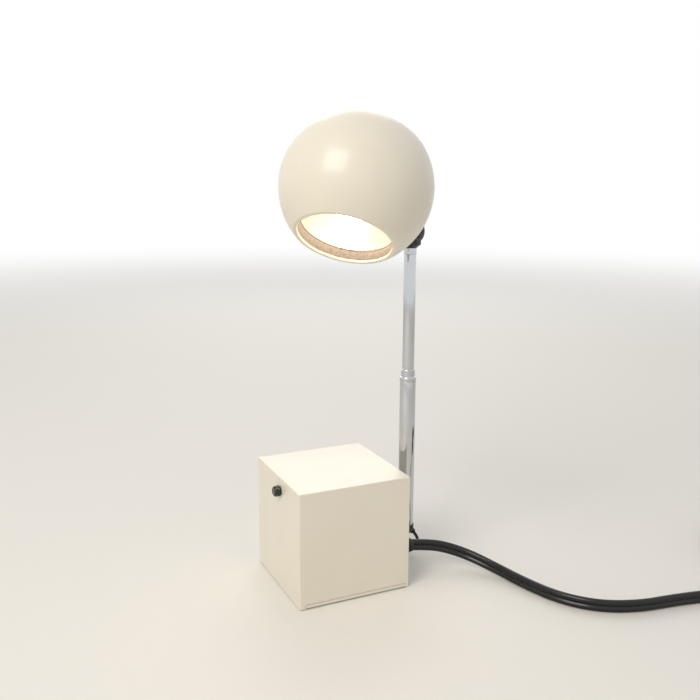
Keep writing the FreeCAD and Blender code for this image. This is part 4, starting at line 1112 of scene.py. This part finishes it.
@dataclass
class BallHead:
    """The ball shade with its baffle, reflector, bulb and wire.

    The baffle's foot is cut back by a width and a height, and its upper edge rolls in at three
    depths. The bulb's neck steps count out from the neck's radius. The wire's bow is in shares
    of its way to the stub and of its highest point.
    """

    arm_y_mm: float = 56.0
    knuckle_z_mm: float = 228.7
    turn_deg: float = 25.5
    tilt_deg: float = 26.8
    spin_deg: float = 10.0
    lean_deg: float = 5.2
    reach_mm: float = 62.74
    ball_r_mm: float = 46.1
    wall_mm: float = 1.0
    ball_runs: int = 72
    opening_r_mm: float = 30.24
    lip_mm: float = 1.45
    lip_flare_mm: float = 0.4
    lip_round_mm: float = 0.25
    stub_hole_mm: float = 3.05
    drill_l_mm: float = 8.0
    baffle_fit_mm: float = 0.18
    baffle_wall_mm: float = 0.6
    baffle_l_mm: float = 8.0
    baffle_inset_mm: float = 0.15
    baffle_rest_mm: float = 0.05
    baffle_in_foot_mm: Pair = (0.2, 0.3)
    baffle_out_foot_mm: Pair = (0.1, 0.2)
    baffle_roll_mm: Point = (0.35, 0.8, 1.1)
    reflector_wall_mm: float = 0.6
    reflector_fit_mm: float = 0.05
    reflector_mid_in_mm: float = 7.0
    reflector_mid_z_mm: float = -11.0
    reflector_runs: int = 48
    spin_ring_mm: float = 0.035
    spin_ring_turn: float = 1.9
    neck_r_mm: float = 8.65
    neck_z_mm: float = -2.0
    bulb_r_mm: float = 9.4
    bulb_z_mm: float = -15.0
    bulb_shoulder_deg: float = 46.0
    bulb_runs: int = 30
    bulb_neck_r_mm: float = 5.6
    bulb_neck_steps_mm: Steps = ((0.35, -7.3), (0.0, -6.3), (0.0, -4.7))
    socket_top_mm: float = 18.0
    lead_r_mm: float = 0.8
    lead_rise_mm: float = 8.5
    lead_start: Pair = (0.015, 0.75)
    lead_bow: Steps = ((0.21, 1.0), (0.42, 0.56), (0.55, 0.17), (0.73, 0.0))
    lead_in_mm: float = 3.0
    stub_end_mm: float = 35.6

    def shade_frame(self) -> Matrix:
        """The ball's own frame, with the stub on +Y and the opening near -Z."""
        return (at(0, self.arm_y_mm, self.knuckle_z_mm) @ turn(self.turn_deg, "Z")
                @ turn(-self.tilt_deg, "X") @ at(0, -self.reach_mm, 0) @ turn(-self.spin_deg, "Y"))

    def optic_frame(self) -> Matrix:
        """The frame along the opening's axis, which points down -Z."""
        return self.shade_frame() @ turn(-self.lean_deg, "X")

    def opening_depth(self) -> float:
        """How far the opening lies from the ball's centre."""
        return math.sqrt(self.ball_r_mm ** 2 - self.opening_r_mm ** 2)

    def baffle_r(self) -> float:
        """The baffle's outer radius, which fits in the ball's opening."""
        inner = self.ball_r_mm - self.wall_mm
        return math.sqrt(inner ** 2 - self.opening_depth() ** 2) - self.baffle_fit_mm

    def baffle_top(self) -> float:
        """The height of the baffle's upper edge, which the reflector's mouth meets."""
        return -self.opening_depth() + self.baffle_inset_mm + self.baffle_l_mm

    def shell(self) -> None:
        """The ball, spun in two halves and planished smooth, with a lip turned in at the opening."""
        depth = self.opening_depth()
        inner = self.ball_r_mm - self.wall_mm
        low_out = math.degrees(math.atan2(-depth, self.opening_r_mm))
        low_in = math.degrees(math.asin((self.lip_mm + self.wall_mm / 2 - depth) / inner))
        seat = self.baffle_r() - self.baffle_wall_mm
        outside = arc(self.ball_r_mm, low_out, 90, self.ball_runs)
        inside = arc(inner, 90, low_in, self.ball_runs)
        outside[-1] = (0.0, self.ball_r_mm)
        inside[0] = (0.0, inner)
        lip = [(seat, self.lip_mm - depth), (seat + self.lip_flare_mm, -depth)]
        rim = softened([*inside[-2:], *lip, *outside[:2]], self.lip_round_mm)[1:-1]
        ball = lathe("ball_enamelled", mm(rim + outside[1:] + inside[:-1]), self.optic_frame(), around=160)
        self.bore(ball)
        settle(ball, Body.SHADE, IVORY_ENAMEL, "ivory_enamel", "ball_shell")

    def bore(self, ball: Piece) -> None:
        """Cuts the stub's hole in the ball.

        Args:
            ball: The ball's mesh, in the row frame.
        """
        length = self.drill_l_mm
        drill = self.shade_frame() @ at(0, self.ball_r_mm - length / 2, 0) @ turn(-90, "X")
        outline = mm([(0, -length), (self.stub_hole_mm, -length), (self.stub_hole_mm, length), (0, length)])
        bit = lathe("stub_drill", outline, drill, around=40, closed=False)
        cut = ball.modifiers.new("stub_hole", "BOOLEAN")
        cut.operation = "DIFFERENCE"
        cut.solver = "EXACT"
        cut.object = bit
        graph = bpy.context.evaluated_depsgraph_get()
        cleared = bpy.data.meshes.new_from_object(ball.evaluated_get(graph))
        ball.modifiers.clear()
        ball.data = cleared
        cleared.shade_smooth()
        cleared.set_sharp_from_angle(angle=math.radians(CREASE_DEG))
        bpy.data.objects.remove(bit)

    def baffle(self) -> None:
        """The short ring that stands on the ball's lip, rolled in a little at its upper edge."""
        outer = self.baffle_r()
        inner = outer - self.baffle_wall_mm
        high = self.baffle_top()
        low = self.lip_mm + self.baffle_rest_mm - self.opening_depth()
        in_w, in_h = self.baffle_in_foot_mm
        out_w, out_h = self.baffle_out_foot_mm
        roll, under, back = self.baffle_roll_mm
        loop = [(inner, low + in_h), (inner + in_w, low), (outer - out_w, low), (outer, low + out_h),
                (outer, high), (inner, high), (inner - roll, high - roll), (inner - roll, high - under),
                (inner, high - back)]
        ring = lathe("baffle_gritted", mm(loop), self.optic_frame(), around=144)
        settle(ring, Body.SHADE, BAFFLE_PAINT, "baffle_grey", "baffle_ring")

    def reflector(self) -> None:
        """The spun bowl behind the bulb, with faint spinning rings on its inside."""
        wall = self.reflector_wall_mm
        high = self.baffle_top()
        mouth = self.baffle_r() - self.reflector_fit_mm
        middle = self.baffle_r() - self.reflector_mid_in_mm
        inside = arc_through((mouth - wall, high), (middle - wall, self.reflector_mid_z_mm),
                             (self.neck_r_mm, self.neck_z_mm - wall), self.reflector_runs)
        outside = arc_through((self.neck_r_mm, self.neck_z_mm), (middle, self.reflector_mid_z_mm + wall),
                              (mouth, high), self.reflector_runs)
        ringed = [(r + self.spin_ring_mm * math.sin(self.spin_ring_turn * k), z)
                  for k, (r, z) in enumerate(inside)]
        ringed[0] = inside[0]
        ringed[-1] = inside[-1]
        bowl = lathe("reflector_spun", mm(ringed + outside), self.optic_frame(), around=144)
        settle(bowl, Body.SHADE, SPUN_REFLECTOR, "reflector", "reflector")

    def bulb(self) -> None:
        """The frosted bulb, a ball that narrows to the cap's mouth."""
        centre = (0.0, self.bulb_z_mm)
        glass = arc(self.bulb_r_mm, -90, self.bulb_shoulder_deg, self.bulb_runs, centre)
        glass[0] = (0.0, self.bulb_z_mm - self.bulb_r_mm)
        neck = [(self.bulb_neck_r_mm + out, z) for out, z in self.bulb_neck_steps_mm]
        profile = softened(mm([*glass, *neck, (0.0, neck[-1][1])]), Corner.SOFT.value)
        bulb = lathe("bulb_frosted", profile, self.optic_frame(), around=64, closed=False)
        settle(bulb, Body.SHADE, FROSTED_BULB, "glass", "bulb_glass")

    def lead(self) -> None:
        """The wire from the back of the socket into the stub's bore."""
        lean = math.radians(self.lean_deg)
        y0 = self.socket_top_mm * math.sin(lean)
        z0 = self.socket_top_mm * math.cos(lean)
        tip = self.stub_end_mm + self.lead_in_mm
        reach = tip - y0
        top = z0 + self.lead_rise_mm
        out, rise = self.lead_start
        route = [(0, y0, z0), (0, y0 + out * reach, z0 + rise * self.lead_rise_mm),
                 *((0, y0 + way * reach, high * top) for way, high in self.lead_bow), (0, tip, 0)]
        frame_of_ball = self.shade_frame()
        line = [frame_of_ball @ spot for spot in smooth_line(mm(route))]
        wire = round_bar("head_lead_flex", line, [self.lead_r_mm * MM] * len(line), around=16)
        settle(wire, Body.SHADE, BLACK_FLEX, "black_rubber", "head_lead")

    def build(self) -> None:
        """Makes the ball, baffle, reflector, bulb and wire."""
        self.shell()
        self.baffle()
        self.reflector()
        self.bulb()
        self.lead()


@dataclass
class MainsCord:
    """The flat twin flex that stands on its edge, its put-away coil and its plug.

    The plug is drawn in sections from its boot's mouth: distance along it, half width, half
    height and squareness. Its block gives insets from its full width and height instead. The
    shape of a rib is (distance, what it adds to the rib's radius), of a grip (distance, half
    width) and of the face (distance back from it, inset).
    """

    width_mm: float = 8.0
    lobe_mm: float = 2.0
    web_mm: float = 0.85
    section_points: int = 48
    curve_steps: int = 8
    start_mm: Point = (13.0, 53.1, 16.2)
    route_mm: tuple[Point, ...] = (
        (16.2, 66.6, 15.4), (22.6, 79.3, 12.6), (32.6, 90.6, 8.8), (48.0, 99.3, 5.4), (72.0, 106.0, 4.0),
        (97.0, 114.0, 4.0), (116.0, 130.0, 4.0), (126.0, 153.0, 4.0), (129.0, 177.0, 4.0),
        (134.0, 202.0, 4.0), (141.5, 226.0, 4.0), (149.5, 250.0, 4.0), (156.9, 274.6, 4.0))
    coil_centre_mm: Pair = (110.0, 312.0)
    coil_r_mm: float = 55.0
    coil_pitch_mm: float = 8.6
    coil_rounds: int = 5
    coil_start_deg: float = -15.0
    coil_exit_deg: float = 90.0
    coil_layer_mm: float = 8.6
    coil_climb: float = 0.5
    points_a_turn: int = 14
    tail_mm: tuple[Point, ...] = ((96.0, 367.0, 12.3), (78.0, 367.3, 7.5))
    length: float = 1.8
    plug_at_mm: Point = (63.0, 367.5, 7.5)
    plug_l_mm: float = 34.0
    plug_w_mm: float = 25.0
    plug_t_mm: float = 15.0
    plug_square: float = 5.6
    plug_runs: int = 56
    plug_crease: float = 34.0
    boot_l_mm: float = 18.0
    boot_square: float = 2.4
    boot_mouth: tuple[Four, ...] = ((0.0, 4.3, 4.5, 2.4), (0.4, 4.7, 4.8, 2.4))
    ribs: int = 5
    rib_at_mm: float = 1.6
    rib_pitch_mm: float = 2.7
    rib_r_mm: float = 4.8
    rib_growth_mm: float = 0.28
    rib_shape_mm: Steps = ((0.0, 0.0), (0.35, -0.8), (1.15, -0.75), (1.5, 0.15))
    shoulder: tuple[Four, ...] = ((16.4, 6.7, 6.2, 2.6), (18.2, 7.6, 6.5, 3.0), (20.0, 9.6, 6.8, 3.6),
                                  (22.5, 11.0, 7.0, 4.2), (25.0, 11.4, 7.1, 4.6))
    grips: int = 4
    grip_at_mm: float = 27.0
    grip_pitch_mm: float = 3.4
    grip_shape_mm: Steps = ((0.0, 11.5), (0.5, 10.9), (1.5, 10.9), (2.0, 11.5))
    grip_half_t_mm: float = 7.15
    grip_square: float = 4.8
    block: tuple[Four, ...] = ((42.0, 0.7, 0.2, 5.0), (44.0, 0.1, 0.05, 5.4), (45.0, 0.0, 0.0, 5.6))
    face_shape_mm: Steps = ((0.8, 0.0), (0.25, 0.2), (0.0, 0.7))

    def coil_turns(self) -> float:
        """Whole rounds, and the part of one from where the coil is entered to where it is left."""
        return self.coil_rounds + (self.coil_exit_deg - self.coil_start_deg) / 360

    def coil_point(self, turns: float) -> Point:
        """The coil's line, which goes in on the floor, climbs a layer and comes out on top.

        Args:
            turns: Turns from where the coil is entered.

        Returns:
            A point in millimetres.
        """
        back = self.coil_turns() / 2
        inward = min(turns, back) - max(turns - back, 0)
        radius = self.coil_r_mm - self.coil_pitch_mm * inward
        climb = min(max((turns - back + self.coil_climb / 2) / self.coil_climb, 0), 1)
        angle = math.radians(self.coil_start_deg + 360 * turns)
        return (self.coil_centre_mm[0] + radius * math.cos(angle),
                self.coil_centre_mm[1] + radius * math.sin(angle),
                self.width_mm / 2 + self.coil_layer_mm * climb * climb * (3 - 2 * climb))

    def section(self) -> Piece:
        """The flex's section: two round cores side by side with a valley between them.

        Returns:
            A hidden outline that the cord's curve is swept with.
        """
        data = bpy.data.curves.new("flex_section", "CURVE")
        data.dimensions = "2D"
        spline = data.splines.new("POLY")
        spline.points.add(self.section_points - 1)
        for spot, a in zip(spline.points, full_turn(self.section_points)):
            y = self.width_mm / 2 * math.sin(a)
            off = abs(y) - self.lobe_mm
            x = math.sqrt(max(self.lobe_mm ** 2 - off ** 2, 0.0))
            if off < 0:
                x = max(x, self.web_mm)
            spot.co = (math.copysign(x, math.cos(a)) * MM, y * MM, 0.0, 1.0)
        spline.use_cyclic_u = True
        outline = new_object("flex_section", data)
        outline.hide_render = True
        outline.hide_viewport = True
        return outline

    def flex(self, plug: Piece) -> None:
        """The whole flex as one smooth line, from the strain relief to the plug.

        Args:
            plug: The moulded plug on its end. It is not used.
        """
        turns = self.coil_turns()
        count = round(turns * self.points_a_turn)
        marks = [turns * k / count for k in range(count + 1)]
        route = [self.start_mm, *self.route_mm, *(self.coil_point(m) for m in marks), *self.tail_mm,
                 self.plug_at_mm]
        data = spline_data("mains_flex", mm(route), self.curve_steps)
        data.bevel_mode = "OBJECT"
        data.bevel_object = self.section()
        data.twist_mode = "Z_UP"
        data.use_fill_caps = True
        cord = new_object("mains_flex", data)
        settle(cord, Body.BASE, BLACK_FLEX, "black_rubber", "cord_stretch", "cord_coil", "cord_tail")

    def plug_sections(self) -> list[Four]:
        """The plug from its boot's mouth to its face.

        Returns:
            Sections for the loft.
        """
        sections = list(self.boot_mouth)
        for k in range(self.ribs):
            x = self.rib_at_mm + k * self.rib_pitch_mm
            r = self.rib_r_mm + self.rib_growth_mm * k
            sections += [(x + on, r + more, r + more, self.boot_square) for on, more in self.rib_shape_mm]
        sections += self.shoulder
        for k in range(self.grips):
            x = self.grip_at_mm + k * self.grip_pitch_mm
            sections += [(x + on, wide, self.grip_half_t_mm, self.grip_square)
                         for on, wide in self.grip_shape_mm]
        half_w = self.plug_w_mm / 2
        half_t = self.plug_t_mm / 2
        face = self.boot_l_mm + self.plug_l_mm
        sections += [(x, half_w - in_w, half_t - in_t, square) for x, in_w, in_t, square in self.block]
        return sections + [(face - back, half_w - inset, half_t - inset, self.plug_square)
                           for back, inset in self.face_shape_mm]

    def plug(self) -> Piece:
        """The moulded plug: a ribbed boot that grows into a rounded block with finger grips.

        Returns:
            The plug's mesh.
        """
        way = Vector(self.plug_at_mm) - Vector(self.tail_mm[-1])
        place = at(*self.plug_at_mm) @ Vector((1, 0, 0)).rotation_difference(way).to_matrix().to_4x4()
        plug = loft("mains_plug_moulded", self.plug_sections(), place, self.plug_runs, self.plug_crease)
        settle(plug, Body.BASE, BLACK_RUBBER, "black_rubber", "plug_body")
        return plug

    def build(self) -> None:
        """Makes the plug and the flex."""
        self.flex(self.plug())


def main() -> None:
    """Builds the studio, the cord and then the lamp, from the foot up."""
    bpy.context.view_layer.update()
    Studio().build()
    MainsCord().build()
    dress_nodes()
    CubeBase().build()
    TelescopicArm().build()
    BallHead().build()


if __name__ == "__main__":
    main()
